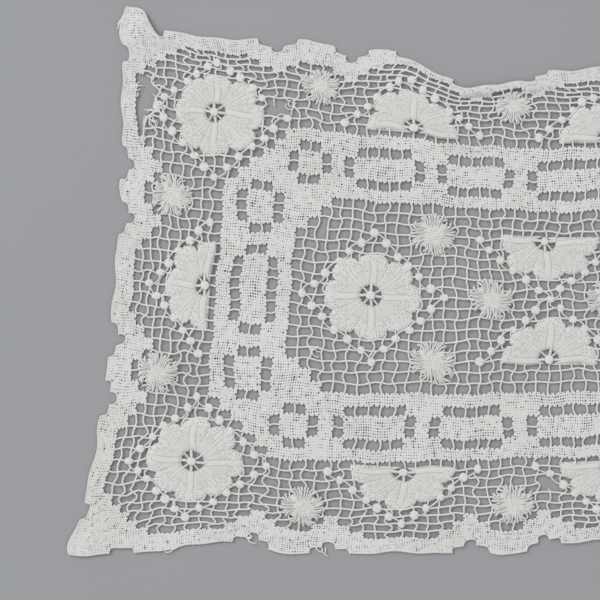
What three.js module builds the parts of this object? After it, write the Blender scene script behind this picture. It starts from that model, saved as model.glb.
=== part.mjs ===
// A filet lace table runner: one knotted square net, darned solid in cloth stitch as a hem
// and an inner band, with needle-woven flowers and rosettes raised on the open net.
// It lies flat on its underside. Places on the net are counted in meshes from the middle of
// the runner, along its length and across its width. Sizes are in millimetres, with +Z up.

import * as THREE from 'three';
import { mergeGeometries, mergeVertices } from 'three/addons/utils/BufferGeometryUtils.js';

// Thicknesses
const CLOTH_THICKNESS = 1.5;
const FLOWER_RISE = 1.2;
const ROSETTE_RISE = 0.9;

// Size of one mesh, counted outwards from the middle: the border is drawn in
const MESHES_ALONG = [
  { from: 0, to: 59, size: 6.6 },
  { from: 59, to: 63, size: 5.2 },
  { from: 63, to: 80, size: 4.7 },
];
const MESHES_ACROSS = [
  { from: 0, to: 16, size: 5.7 },
  { from: 16, to: 20, size: 4.9 },
  { from: 20, to: 40, size: 4.0 },
];

// The chart, in meshes
const RUNNER = { along: 69, across: 26 };
const FIELD = { along: 52, across: 9 };
const FIELD_CORNER_CUT = 4;
const BAND_WIDTH = 6;
const BAND_CORNER_CUT = 7;
const OPEN_BORDER = 6;
const NET_ROUND_FLOWER = { square: 8, diamond: 10 };
const LONG_SIDE_FLOWERS = [8, 25, 42, 59];
const SHORT_SIDE_FLOWERS = [0, 16];
const BORDER_ROSETTE_OUT = 4;
const FIELD_FLOWERS = [-45, -15, 15, 45];
const FIELD_PAIRS = [-30, 0, 30];
const PAIR_HALF_GAP = 6;
const PAIR_ROSETTES = { beside: 10, between: 5 };
const FLOWER_RADIUS = 4;
const ROSETTE_RADIUS = 1.8;
const FLOWER_TAB = 4;
const NOTCH = [1, 2, 1];
const CORNER_TAB = 4;
const CORNER_NOTCH = 2;
const HEM_STEP = 2;
const HALF_BAR = 0.1;
const CLEAR_OF_MOTIFS = 0.85;

// Forms of the motifs, as shares of their radius and rise; a half flower's rim is in meshes
const PETALS = 8;
const STEPS_PER_PETAL = 3;
const PETAL_TIP = 1.03;
const PETAL_CLEFT = 0.88;
const HALF_FLOWER_RIM = 0.45;
const FLOWER_CREST = 0.65;
const SUNK_RISE = 0.5;
const ROSETTE_STEPS = 8;
const ROSETTE_CREST = 0.6;
const ROLL_STEPS = { along: 10, across: 2 };

// Frames of dashes in the band, as stretches counted from the middle
const LONG_FRAMES = [
  { from: -5, to: 5 }, { from: 6, to: 14 }, { from: 15, to: 23 }, { from: 24, to: 32 },
  { from: 33, to: 40 }, { from: 41, to: 48 }, { from: 49, to: 53 },
];
const SHORT_FRAMES = [{ from: -4, to: 4 }, { from: 5, to: 10 }];
const DASH_ROWS = [1, 4];
const FRAME_ENDS = { row: 2, rows: 2 };

// Torn places, where the net has come away
const TEARS = [
  { fromAlong: -67, toAlong: -65, fromAcross: 13, toAcross: 19 },
  { fromAlong: -54.6, toAlong: -52, fromAcross: 16, toAcross: 18 },
  { fromAlong: -50, toAlong: -49, fromAcross: 5, toAcross: 7 },
  { fromAlong: -31, toAlong: -29, fromAcross: -19, toAcross: -17 },
];

// How the runner lies: its left end bends, both ends flare, and handling has pulled the edges
const BEND = { start: -30, perMillimetre: 0.000365 };
const FLARE = { start: 30, over: 25, share: 0.065 };
const WAVES = [
  { right: 0.45, up: 0, perAlong: 0.6, perAcross: 1.7 },
  { right: 0.45, up: 0, perAlong: -0.4, perAcross: 0.9 },
  { right: 0, up: 0.45, perAlong: 1.9, perAcross: -0.5 },
  { right: 0, up: 0.45, perAlong: 0.8, perAcross: 0.3 },
];
const PULLS = [
  { along: -38, across: 26, right: 0, up: -14, overAlong: 2.8, overAcross: 4.5 },
  { along: -32, across: 26, right: -2, up: -7, overAlong: 3, overAcross: 3 },
  { along: -26, across: 27, right: -7, up: -6.5, overAlong: 3.5, overAcross: 4 },
  { along: -47.8, across: 26, right: 0, up: -5, overAlong: 2.2, overAcross: 3.5 },
  { along: -55.5, across: 26, right: -5, up: -2.2, overAlong: 2.5, overAcross: 2.6 },
  { along: -62, across: 26.5, right: -7, up: 0, overAlong: 3.2, overAcross: 2.2 },
  { along: -61, across: 26, right: 0, up: -5, overAlong: 5, overAcross: 3 },
  { along: -66, across: 27.5, right: -12.5, up: 12, overAlong: 3, overAcross: 2.6 },
  { along: -63, across: 26.5, right: 2, up: -5, overAlong: 1.6, overAcross: 1.8 },
  { along: -65, across: 25.2, right: 2.6, up: 1.2, overAlong: 1.1, overAcross: 1.2 },
  { along: -63.6, across: 25, right: -2, up: -1.9, overAlong: 1, overAcross: 0.6 },
  { along: -69, across: 26, right: 1.8, up: -0.6, overAlong: 1, overAcross: 1 },
  { along: -70, across: 24, right: -3, up: 0, overAlong: 2, overAcross: 3 },
  { along: -66.5, across: 22, right: -5.5, up: 3, overAlong: 3, overAcross: 3 },
  { along: -66, across: 16, right: -4.8, up: 0.5, overAlong: 2.2, overAcross: 4 },
  { along: -60, across: 16, right: -1.5, up: 0, overAlong: 4, overAcross: 4 },
  { along: -70, across: 17, right: -2.7, up: 0, overAlong: 3, overAcross: 4 },
  { along: -33, across: 20, right: -1.4, up: -0.3, overAlong: 3, overAcross: 3.5 },
  { along: -50, across: 20, right: -1.4, up: -0.4, overAlong: 3, overAcross: 3 },
  { along: -46.5, across: 26, right: -2, up: 0, overAlong: 2, overAcross: 2.5 },
  { along: -70, across: -26, right: -11.5, up: -9, overAlong: 3.5, overAcross: 3 },
  { along: -66, across: -20.5, right: -6, up: -4, overAlong: 3, overAcross: 3.5 },
  { along: -69, across: -19, right: -1.5, up: -3.5, overAlong: 2, overAcross: 2 },
  { along: -63.5, across: -25.5, right: -5, up: -3, overAlong: 3, overAcross: 3 },
  { along: -55.5, across: -26, right: -1, up: 5, overAlong: 2.2, overAcross: 2.5 },
  { along: -59, across: -16, right: -0.6, up: 1.6, overAlong: 4, overAcross: 3.5 },
  { along: -69, across: -16, right: 0, up: 1, overAlong: 3, overAcross: 3 },
  { along: -69, across: -12.5, right: -1.5, up: -3.5, overAlong: 2.5, overAcross: 2.5 },
  { along: -26, across: -26, right: -2, up: 4, overAlong: 3.5, overAcross: 3 },
  { along: -46, across: -23.5, right: -1, up: -2.5, overAlong: 2.5, overAcross: 2.5 },
  { along: -66, across: 8, right: -2.5, up: 1, overAlong: 3, overAcross: 4 },
  { along: -65, across: -8, right: -2, up: 0, overAlong: 3, overAcross: 4 },
  { along: -54, across: 8, right: 2, up: 1, overAlong: 4, overAcross: 5 },
  { along: -33, across: -25, right: 2, up: -6, overAlong: 5, overAcross: 4 },
  { along: -44, across: -17, right: 0.5, up: -2, overAlong: 7, overAcross: 4 },
  { along: -51, across: -21, right: -0.3, up: 0.6, overAlong: 4, overAcross: 4 },
  { along: -51, across: -26.5, right: -3.2, up: -1.2, overAlong: 2, overAcross: 2.2 },
  { along: -30, across: 13, right: 0, up: -2.2, overAlong: 6, overAcross: 3 },
  { along: -33, across: -12, right: 0, up: -1.8, overAlong: 6, overAcross: 3 },
  { along: -29, across: 6, right: -2.5, up: -2, overAlong: 4, overAcross: 3 },
  { along: -29, across: -6, right: -1, up: 1.5, overAlong: 4, overAcross: 3 },
  { along: -46, across: 13, right: 1.5, up: -0.8, overAlong: 6, overAcross: 3 },
  { along: -42, across: 17, right: 0, up: 0.8, overAlong: 4, overAcross: 3 },
  { along: -42, across: 21.5, right: -2, up: 2.6, overAlong: 2, overAcross: 2 },
  { along: -44.5, across: 26, right: 0, up: -1.7, overAlong: 1.6, overAcross: 2.5 },
  { along: -43.5, across: 25.5, right: 0, up: 1.6, overAlong: 0.8, overAcross: 1.5 },
  { along: -41, across: 25.5, right: 0, up: -1.8, overAlong: 1.6, overAcross: 1.5 },
  { along: -35, across: 25, right: 0, up: 2.3, overAlong: 3.6, overAcross: 1.6 },
  { along: -30, across: 25, right: -3, up: 0.5, overAlong: 1.5, overAcross: 2 },
  { along: -30, across: -25, right: -1.8, up: 1.2, overAlong: 1.5, overAcross: 2 },
  { along: -33, across: -20, right: -1.5, up: 1, overAlong: 3, overAcross: 3 },
  { along: -42, across: 26, right: 4, up: 0, overAlong: 4, overAcross: 3 },
  { along: -40, across: -6, right: 1.8, up: 0, overAlong: 4, overAcross: 3 },
  { along: -56, across: 0, right: 0, up: 1.4, overAlong: 3, overAcross: 4 },
  { along: 6, across: 26, right: 0, up: -3, overAlong: 9, overAcross: 4 },
  { along: 34, across: 26, right: 1, up: 3, overAlong: 8, overAcross: 4 },
  { along: 12, across: -26, right: 0, up: 3, overAlong: 9, overAcross: 4 },
  { along: 46, across: -26, right: -1, up: -3, overAlong: 8, overAcross: 4 },
  { along: 69, across: 0, right: -3, up: 0, overAlong: 4, overAcross: 7 },
  { along: 69, across: 26, right: 2, up: 1, overAlong: 5, overAcross: 5 },
  { along: 69, across: -26, right: 3, up: -2, overAlong: 5, overAcross: 5 },
];

// The stretches of the far hem that are turned under, and the low rolls that the cloth makes
const TURNED_UNDER = [{ from: -44, to: -39, by: 1 }, { from: -39, to: -30, by: 2 }];
const ROLLS = [
  { fromAlong: -37.5, toAlong: -30.5, fromAcross: 22.4, toAcross: 23.7, rise: 2.2 },
  { fromAlong: -67.5, toAlong: -62.5, fromAcross: 22.8, toAcross: 24.8, rise: 2.6 },
];

// From a count of meshes to the place where the net lies
function meshLength(count, meshes) {
  let length = 0;
  for (const { from, to, size } of meshes) {
    length += (THREE.MathUtils.clamp(count, from, to) - from) * size;
  }
  return length;
}

function lie([along, across]) {
  const length = Math.sign(along) * meshLength(Math.abs(along), MESHES_ALONG);
  const flare = THREE.MathUtils.smoothstep(Math.abs(along), FLARE.start, FLARE.start + FLARE.over);
  const spread = Math.sign(across) * (1 + FLARE.share * flare);
  const width = spread * meshLength(Math.abs(across), MESHES_ACROSS);
  const intoBend = Math.max(BEND.start - along, 0) * MESHES_ALONG[0].size;
  const turn = BEND.perMillimetre * intoBend;
  const place = new THREE.Vector2(length + turn * width, width + turn * intoBend / 2);
  for (const wave of WAVES) {
    const swing = Math.sin(wave.perAlong * along + wave.perAcross * across);
    place.addScaledVector(new THREE.Vector2(wave.right, wave.up), swing);
  }
  for (const pull of PULLS) {
    const away = ((along - pull.along) / pull.overAlong) ** 2
      + ((across - pull.across) / pull.overAcross) ** 2;
    place.addScaledVector(new THREE.Vector2(pull.right, pull.up), Math.exp(-away / 2));
  }
  return place;
}

// Flowers and rosettes: a half flower faces 0 for the far side, then on by quarter turns
function bothWays(counts) {
  return [...new Set(counts.flatMap((count) => [-count, count]))].sort((a, b) => a - b);
}

// Knots midway between counts, on the side of the middle where that falls within a mesh
function between(counts) {
  return counts.slice(1).map((count, i) => Math.trunc((counts[i] + count) / 2));
}

const longFlowers = bothWays(LONG_SIDE_FLOWERS);
const shortFlowers = bothWays(SHORT_SIDE_FLOWERS);
const longRow = SHORT_SIDE_FLOWERS.at(-1);
const shortRow = LONG_SIDE_FLOWERS.at(-1);
const flowers = FIELD_FLOWERS.map((along) => ({ along, across: 0 }));
const rosettes = [];
for (const side of [-1, 1]) {
  for (const along of longFlowers) {
    const corner = Math.abs(along) === shortRow;
    flowers.push({ along, across: side * longRow, faces: corner ? undefined : 1 - side });
  }
  flowers.push({ along: side * shortRow, across: 0, faces: 2 + side });
  for (const along of FIELD_PAIRS) {
    const across = side * PAIR_HALF_GAP;
    flowers.push({ along, across, faces: 1 + side });
    rosettes.push({ along: along - PAIR_ROSETTES.beside, across });
    rosettes.push({ along: along + PAIR_ROSETTES.beside, across });
    rosettes.push({ along: along + side * PAIR_ROSETTES.between, across: 0 });
  }
  for (const along of between(longFlowers)) {
    rosettes.push({ along, across: side * (longRow + BORDER_ROSETTE_OUT) });
  }
  for (const across of between(shortFlowers)) {
    rosettes.push({ along: side * (shortRow + BORDER_ROSETTE_OUT), across });
  }
}

// How far a place lies in front of a half flower's straight side
function inFront({ faces }, x, y) {
  const lean = faces * Math.PI / 2;
  return y * Math.cos(lean) - x * Math.sin(lean);
}

// Outline: the hem is stepped into tabs, one beyond each flower, rosette and corner
function edgeRuns(flowerPlaces, end) {
  const runs = [];
  let from = -end;
  const run = (to, inset) => {
    runs.push({ from, to, inset });
    from = to;
  };
  const notch = () => NOTCH.forEach((inset) => run(from + 1, inset));
  run(CORNER_TAB - end, 0);
  run(from + CORNER_NOTCH, 1);
  for (const flower of flowerPlaces) {
    if (flower !== flowerPlaces[0]) {
      notch();
      run(flower - FLOWER_TAB - NOTCH.length, 0);
      notch();
    }
    run(flower + FLOWER_TAB, 0);
  }
  run(from + CORNER_NOTCH, 1);
  run(end, 0);
  return runs;
}

function outline() {
  const nearRuns = edgeRuns(longFlowers, RUNNER.along);
  const sideRuns = edgeRuns(shortFlowers, RUNNER.across);
  const turns = new Set(TURNED_UNDER.flatMap(({ from, to }) => [from, to]));
  const farRuns = nearRuns.flatMap((run) => {
    const cuts = [...turns].filter((at) => at > run.from && at < run.to);
    const ends = [run.from, ...cuts, run.to];
    return ends.slice(1).map((to, i) => {
      const turned = TURNED_UNDER.find((turn) => ends[i] >= turn.from && to <= turn.to);
      return { from: ends[i], to, inset: turned?.by ?? run.inset };
    });
  });
  const places = ({ from, to }) => {
    const steps = Math.ceil((to - from) / HEM_STEP);
    return Array.from({ length: steps + 1 }, (_, i) => from + (to - from) * i / steps);
  };
  const corners = [
    ...nearRuns.flatMap((run) => places(run).map((at) => [at, run.inset - RUNNER.across])),
    ...sideRuns.flatMap((run) => places(run).map((at) => [RUNNER.along - run.inset, at])),
    ...farRuns.reverse().flatMap((run) =>
      places(run).reverse().map((at) => [at, RUNNER.across - run.inset])),
    ...sideRuns.reverse().flatMap((run) =>
      places(run).reverse().map((at) => [run.inset - RUNNER.along, at])),
  ];
  return corners.filter(([along, across], i) => {
    const [lastAlong, lastAcross] = corners.at(i - 1);
    return along !== lastAlong || across !== lastAcross;
  });
}

// Openings: torn places, the band's dashes, and every other square of the net at twice its pitch
function isNet(along, across) {
  const [a, b] = [Math.abs(along), Math.abs(across)];
  const pastField = Math.max(a - FIELD.along, b - FIELD.across);
  if (pastField < 0) return FIELD.along - a + FIELD.across - b >= FIELD_CORNER_CUT;
  if (pastField < BAND_WIDTH) {
    return Math.abs(a - shortRow) + Math.abs(b - longRow) <= BAND_CORNER_CUT;
  }
  if (pastField < BAND_WIDTH + OPEN_BORDER) return true;
  return flowers.some((flower) => {
    const [out, over] = [Math.abs(along - flower.along), Math.abs(across - flower.across)];
    return Math.max(out, over) <= NET_ROUND_FLOWER.square && out + over <= NET_ROUND_FLOWER.diamond;
  });
}

function isClear(along, across) {
  const margin = CLEAR_OF_MOTIFS;
  const missed = (motif, radius) => {
    const [x, y] = [along - motif.along, across - motif.across];
    const behind = motif.faces !== undefined && inFront(motif, x, y) < -margin;
    return behind || Math.hypot(x, y) > radius + margin;
  };
  return flowers.every((flower) => missed(flower, FLOWER_RADIUS))
    && rosettes.every((rosette) => missed(rosette, ROSETTE_RADIUS))
    && TEARS.every((tear) => along < tear.fromAlong - margin || along > tear.toAlong + margin
      || across < tear.fromAcross - margin || across > tear.toAcross + margin);
}

function frameOpenings(frames, inner) {
  return frames.flatMap(({ from, to }) => [-1, 1].flatMap((side) => {
    const starts = from < 0 ? [from] : [from, -to];
    const rows = (first, count) => side > 0 ? inner + first : -inner - first - count;
    return starts.flatMap((start) => [
      ...DASH_ROWS.map((row) => ({
        start: start + 1, length: to - from - 2, row: rows(row, 1), rows: 1,
      })),
      ...[start, start + to - from - 1].map((end) => ({
        start: end, length: 1, row: rows(FRAME_ENDS.row, FRAME_ENDS.rows), rows: FRAME_ENDS.rows,
      })),
    ]);
  }));
}

const openings = [...TEARS];
for (const { start, length, row, rows } of frameOpenings(LONG_FRAMES, FIELD.across)) {
  openings.push({
    fromAlong: start, toAlong: start + length, fromAcross: row, toAcross: row + rows,
  });
}
for (const { start, length, row, rows } of frameOpenings(SHORT_FRAMES, FIELD.along)) {
  openings.push({
    fromAlong: row, toAlong: row + rows, fromAcross: start, toAcross: start + length,
  });
}
for (let i = 0; i <= RUNNER.along; i += 1) {
  for (let j = i % 2; j <= RUNNER.across; j += 2) {
    const [along, across] = [2 * i - RUNNER.along - 1, 2 * j - RUNNER.across - 1];
    const meshes = [[0.5, 0.5], [1.5, 0.5], [0.5, 1.5], [1.5, 1.5]];
    if (meshes.every(([a, b]) => isNet(along + a, across + b) && isClear(along + a, across + b))) {
      openings.push({
        fromAlong: along, toAlong: along + 2, fromAcross: across, toAcross: across + 2,
      });
    }
  }
}

function openingCorners({ fromAlong, toAlong, fromAcross, toAcross }) {
  const [left, right] = [fromAlong + HALF_BAR, toAlong - HALF_BAR];
  const [near, far] = [fromAcross + HALF_BAR, toAcross - HALF_BAR];
  return [[left, near], [left, far], [right, far], [right, near]];
}

// Relief: each raised form is a patch of the upper face, with its rim level with the cloth
function bare(geometry) {
  geometry.deleteAttribute('normal');
  geometry.deleteAttribute('uv');
  return geometry;
}

function raised(form, shape) {
  const patch = mergeVertices(bare(form));
  const point = patch.attributes.position;
  for (let i = 0; i < point.count; i += 1) {
    const { along, across, rise } = shape(point.getX(i), point.getY(i));
    const place = lie([along, across]);
    point.setXYZ(i, place.x, place.y, CLOTH_THICKNESS + rise);
  }
  return patch;
}

function flowerPatch(flower) {
  const half = flower.faces !== undefined;
  const step = 2 * Math.PI / (PETALS * STEPS_PER_PETAL);
  const steps = half ? PETALS * STEPS_PER_PETAL / 2 + 1 : PETALS * STEPS_PER_PETAL;
  const lean = (flower.faces ?? 0) * Math.PI / 2;
  const start = lean - step / 2;
  const form = mergeGeometries([
    new THREE.RingGeometry(FLOWER_CREST, 1, steps, 1, start, steps * step),
    new THREE.CircleGeometry(FLOWER_CREST, steps, start, steps * step),
  ]);
  return raised(form, (x, y) => {
    const petal = Math.atan2(y, x) * PETALS / (2 * Math.PI);
    const cleft = Math.abs(petal - Math.floor(petal) - 0.5) < 0.1;
    const reach = FLOWER_RADIUS * (cleft ? PETAL_CLEFT : PETAL_TIP);
    const out = Math.hypot(x, y);
    const front = half ? reach * inFront(flower, x, y) : reach;
    const onSide = front < 0.01;
    const back = onSide ? front + HALF_FLOWER_RIM : 0;
    const rise = cleft || out < 0.1 ? SUNK_RISE * FLOWER_RISE : FLOWER_RISE;
    return {
      along: flower.along + reach * x + back * Math.sin(lean),
      across: flower.across + reach * y - back * Math.cos(lean),
      rise: onSide || out > 0.9 ? 0 : rise,
    };
  });
}

function rosettePatch(rosette) {
  const form = mergeGeometries([
    new THREE.RingGeometry(ROSETTE_CREST, 1, ROSETTE_STEPS, 1),
    new THREE.CircleGeometry(ROSETTE_CREST, ROSETTE_STEPS),
  ]);
  return raised(form, (x, y) => ({
    along: rosette.along + ROSETTE_RADIUS * x,
    across: rosette.across + ROSETTE_RADIUS * y,
    rise: Math.hypot(x, y) > 0.9 ? 0 : ROSETTE_RISE,
  }));
}

function rollPatch({ fromAlong, toAlong, fromAcross, toAcross, rise }) {
  const form = new THREE.PlaneGeometry(1, 1, ROLL_STEPS.along, ROLL_STEPS.across);
  return raised(form, (x, y) => ({
    along: THREE.MathUtils.lerp(fromAlong, toAlong, x + 0.5),
    across: THREE.MathUtils.lerp(fromAcross, toAcross, y + 0.5),
    rise: rise * (1 - 4 * x * x) * (1 - 4 * y * y),
  }));
}

// The rim of a patch is the loop of edges that only one of its triangles uses
function rim(patch) {
  const corners = [...patch.index.array];
  const edges = corners.map((corner, i) => [corner, corners[i % 3 === 2 ? i - 2 : i + 1]]);
  const used = new Set(edges.map((edge) => edge.join()));
  const next = new Map(edges.filter(([a, b]) => !used.has([b, a].join())));
  const point = patch.attributes.position;
  const loop = [];
  let corner = next.keys().next().value;
  for (let i = 0; i < next.size; i += 1) {
    loop.push(new THREE.Vector2(point.getX(corner), point.getY(corner)));
    corner = next.get(corner);
  }
  return loop;
}

// The cloth: an upper face round the patches, an under face, and walls at every edge
function face(edge, holes, height) {
  const shape = new THREE.Shape(edge);
  shape.holes = holes.map((hole) => new THREE.Path(hole));
  return bare(new THREE.ShapeGeometry(shape)).translate(0, 0, height);
}

function wall(loop) {
  const geometry = new THREE.BufferGeometry();
  const heights = [0, CLOTH_THICKNESS];
  const points = heights.flatMap((z) => loop.flatMap(({ x, y }) => [x, y, z]));
  const quads = loop.flatMap((_, i) => {
    const [a, b] = [i, (i + 1) % loop.length];
    const [c, d] = [b + loop.length, a + loop.length];
    return [a, b, c, a, c, d];
  });
  geometry.setAttribute('position', new THREE.Float32BufferAttribute(points, 3));
  geometry.setIndex(quads);
  return geometry;
}

const patches = [
  ...flowers.map(flowerPatch), ...rosettes.map(rosettePatch), ...ROLLS.map(rollPatch),
];
const edge = outline().map(lie);
const holes = openings.map((opening) => openingCorners(opening).map(lie));
const upper = face(edge, [...holes, ...patches.map(rim)], CLOTH_THICKNESS);
const under = face(edge, holes, 0);
under.setIndex([...under.index.array].reverse());

const lace = mergeVertices(mergeGeometries([upper, under, ...[edge, ...holes].map(wall), ...patches]));
lace.computeBoundingBox();
const middle = lace.boundingBox.getCenter(new THREE.Vector3());
lace.translate(-middle.x, -middle.y, 0);
lace.computeVertexNormals();

const runner = new THREE.Mesh(lace, new THREE.MeshStandardMaterial({
  color: 0xe1ded6, roughness: 0.9, metalness: 0,
}));
runner.name = 'lace_runner';

const group = new THREE.Group();
group.add(runner);
export default group;
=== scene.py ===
"""A filet lace table runner lying flat: one knotted net, darned solid as a band and a hem,
with needle-woven flowers, rosettes and wheels, and the torn places of long use."""

import math

import bpy
import numpy as np
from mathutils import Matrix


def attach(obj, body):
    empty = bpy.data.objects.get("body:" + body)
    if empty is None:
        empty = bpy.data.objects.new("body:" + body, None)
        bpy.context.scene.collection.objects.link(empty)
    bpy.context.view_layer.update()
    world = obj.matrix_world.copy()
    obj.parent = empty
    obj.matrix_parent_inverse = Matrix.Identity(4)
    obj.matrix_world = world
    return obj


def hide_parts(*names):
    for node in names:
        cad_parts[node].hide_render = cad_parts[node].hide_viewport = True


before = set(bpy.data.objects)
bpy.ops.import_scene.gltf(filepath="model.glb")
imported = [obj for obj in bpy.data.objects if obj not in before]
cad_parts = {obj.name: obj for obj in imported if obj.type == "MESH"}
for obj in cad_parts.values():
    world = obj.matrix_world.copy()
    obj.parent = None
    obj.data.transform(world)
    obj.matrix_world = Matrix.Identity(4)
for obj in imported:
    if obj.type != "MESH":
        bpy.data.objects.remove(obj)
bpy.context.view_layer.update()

# Net
# The ground is one square net of cotton thread, knotted over a gauge and then worked to a chart.
# Places on the chart are counted in meshes from the middle, along the runner and across it.
# The net lies as use has left it: drawn in at the border, bent and flared at the ends, pulled.
RUNNER_ALONG, RUNNER_ACROSS = 69, 26
FIELD_ALONG, FIELD_ACROSS, FIELD_CORNER_CUT = 52, 9, 4
BAND_WIDTH, BAND_CORNER_CUT, OPEN_BORDER = 6, 7, 6
MESHES_ALONG = [(0, 59, 6.6), (59, 63, 5.2), (63, 80, 4.7)]  # from, to, millimetres a mesh
MESHES_ACROSS = [(0, 16, 5.7), (16, 20, 4.9), (20, 40, 4.0)]
BEND_START, BEND_PER_MM = -30, 0.000365
FLARE_START, FLARE_STOP, FLARE_SHARE = 30, 55, 0.065
WAVES = [  # millimetres right, up, turns of the wave for each mesh along and across
    (0.45, 0, 0.6, 1.7), (0.45, 0, -0.4, 0.9), (0, 0.45, 1.9, -0.5), (0, 0.45, 0.8, 0.3),
]
PULLS = [  # place along, across, millimetres right, up, meshes that it spreads along, across
    (-38, 26, 0, -14, 2.8, 4.5),
    (-32, 26, -2, -7, 3, 3),
    (-26, 27, -7, -6.5, 3.5, 4),
    (-47.8, 26, 0, -5, 2.2, 3.5),
    (-55.5, 26, -5, -2.2, 2.5, 2.6),
    (-62, 26.5, -7, 0, 3.2, 2.2),
    (-61, 26, 0, -5, 5, 3),
    (-66, 27.5, -12.5, 12, 3, 2.6),
    (-63, 26.5, 2, -5, 1.6, 1.8),
    (-65, 25.2, 2.6, 1.2, 1.1, 1.2),
    (-63.6, 25, -2, -1.9, 1, 0.6),
    (-69, 26, 1.8, -0.6, 1, 1),
    (-70, 24, -3, 0, 2, 3),
    (-66.5, 22, -5.5, 3, 3, 3),
    (-66, 16, -4.8, 0.5, 2.2, 4),
    (-60, 16, -1.5, 0, 4, 4),
    (-70, 17, -2.7, 0, 3, 4),
    (-33, 20, -1.4, -0.3, 3, 3.5),
    (-50, 20, -1.4, -0.4, 3, 3),
    (-46.5, 26, -2, 0, 2, 2.5),
    (-70, -26, -11.5, -9, 3.5, 3),
    (-66, -20.5, -6, -4, 3, 3.5),
    (-69, -19, -1.5, -3.5, 2, 2),
    (-63.5, -25.5, -5, -3, 3, 3),
    (-55.5, -26, -1, 5, 2.2, 2.5),
    (-59, -16, -0.6, 1.6, 4, 3.5),
    (-69, -16, 0, 1, 3, 3),
    (-69, -12.5, -1.5, -3.5, 2.5, 2.5),
    (-26, -26, -2, 4, 3.5, 3),
    (-46, -23.5, -1, -2.5, 2.5, 2.5),
    (-66, 8, -2.5, 1, 3, 4),
    (-65, -8, -2, 0, 3, 4),
    (-54, 8, 2, 1, 4, 5),
    (-33, -25, 2, -6, 5, 4),
    (-44, -17, 0.5, -2, 7, 4),
    (-51, -21, -0.3, 0.6, 4, 4),
    (-51, -26.5, -3.2, -1.2, 2, 2.2),
    (-30, 13, 0, -2.2, 6, 3),
    (-33, -12, 0, -1.8, 6, 3),
    (-29, 6, -2.5, -2, 4, 3),
    (-29, -6, -1, 1.5, 4, 3),
    (-46, 13, 1.5, -0.8, 6, 3),
    (-42, 17, 0, 0.8, 4, 3),
    (-42, 21.5, -2, 2.6, 2, 2),
    (-44.5, 26, 0, -1.7, 1.6, 2.5),
    (-43.5, 25.5, 0, 1.6, 0.8, 1.5),
    (-41, 25.5, 0, -1.8, 1.6, 1.5),
    (-35, 25, 0, 2.3, 3.6, 1.6),
    (-30, 25, -3, 0.5, 1.5, 2),
    (-30, -25, -1.8, 1.2, 1.5, 2),
    (-33, -20, -1.5, 1, 3, 3),
    (-42, 26, 4, 0, 4, 3),
    (-40, -6, 1.8, 0, 4, 3),
    (-56, 0, 0, 1.4, 3, 4),
    (6, 26, 0, -3, 9, 4),
    (34, 26, 1, 3, 8, 4),
    (12, -26, 0, 3, 9, 4),
    (46, -26, -1, -3, 8, 4),
    (69, 0, -3, 0, 4, 7),
    (69, 26, 2, 1, 5, 5),
    (69, -26, 3, -2, 5, 5),
]
MILLIMETRE = 0.001


def ramp(value, start, stop):
    """0 before the start, 1 past the stop and even between them."""
    return np.clip((value - start) / (stop - start), 0, 1)


def mesh_length(count, meshes):
    """Length in millimetres of a count of meshes from the middle."""
    return sum((np.clip(count, first, last) - first) * size for first, last, size in meshes)


def pulled_place(along, across):
    """Where places of the chart lie, in millimetres from the chart's middle."""
    along, across = np.broadcast_arrays(np.asarray(along, float), np.asarray(across, float))
    flare = ramp(abs(along), FLARE_START, FLARE_STOP)
    spread = 1 + FLARE_SHARE * flare * flare * (3 - 2 * flare)
    x = np.sign(along) * mesh_length(abs(along), MESHES_ALONG)
    y = np.sign(across) * mesh_length(abs(across), MESHES_ACROSS) * spread
    into_bend = np.maximum(BEND_START - along, 0) * MESHES_ALONG[0][2]
    turn = BEND_PER_MM * into_bend
    x, y = x + turn * y, y + turn * into_bend / 2
    for right, up, per_along, per_across in WAVES:
        swing = np.sin(per_along * along + per_across * across)
        x, y = x + right * swing, y + up * swing
    for at_along, at_across, right, up, over_along, over_across in PULLS:
        away = ((along - at_along) / over_along) ** 2 + ((across - at_across) / over_across) ** 2
        x, y = x + right * np.exp(-away / 2), y + up * np.exp(-away / 2)
    return np.stack([x, y], -1)


# Motifs of the chart: where flowers and rosettes stand on the net, and which way half flowers face
LONG_SIDE_FLOWERS = [-59, -42, -25, -8, 8, 25, 42, 59]
SHORT_SIDE_FLOWERS = [-16, 0, 16]
FIELD_FLOWERS, FIELD_PAIRS = [-45, -15, 15, 45], [-30, 0, 30]
PAIR_HALF_GAP, BESIDE_PAIR, BETWEEN_PAIR, ROSETTE_OUT = 6, 10, 5, 4
SHORT_ROW, LONG_ROW = LONG_SIDE_FLOWERS[-1], SHORT_SIDE_FLOWERS[-1]
FAR, LEFT, NEAR, RIGHT, ALL_ROUND = range(5)

flowers = [(along, 0, ALL_ROUND) for along in FIELD_FLOWERS]
for along in (-SHORT_ROW, SHORT_ROW):
    flowers += [(along, -LONG_ROW, ALL_ROUND), (along, LONG_ROW, ALL_ROUND)]
flowers += [(-SHORT_ROW, 0, LEFT), (SHORT_ROW, 0, RIGHT)]
rosettes, wells = [], []
for side, outward, inward in [(1, FAR, NEAR), (-1, NEAR, FAR)]:
    flowers += [(along, side * LONG_ROW, outward) for along in LONG_SIDE_FLOWERS[1:-1]]
    flowers += [(along, side * PAIR_HALF_GAP, inward) for along in FIELD_PAIRS]
    for along in FIELD_PAIRS:
        rosettes += [(along + out, side * PAIR_HALF_GAP) for out in (-BESIDE_PAIR, BESIDE_PAIR)]
        rosettes.append((along + side * BETWEEN_PAIR, 0))
    for first, second in zip(LONG_SIDE_FLOWERS, LONG_SIDE_FLOWERS[1:]):
        wells.append(((first + second) / 2, side * (LONG_ROW + ROSETTE_OUT)))
    for first, second in zip(SHORT_SIDE_FLOWERS, SHORT_SIDE_FLOWERS[1:]):
        wells.append((side * (SHORT_ROW + ROSETTE_OUT), (first + second) / 2))
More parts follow.
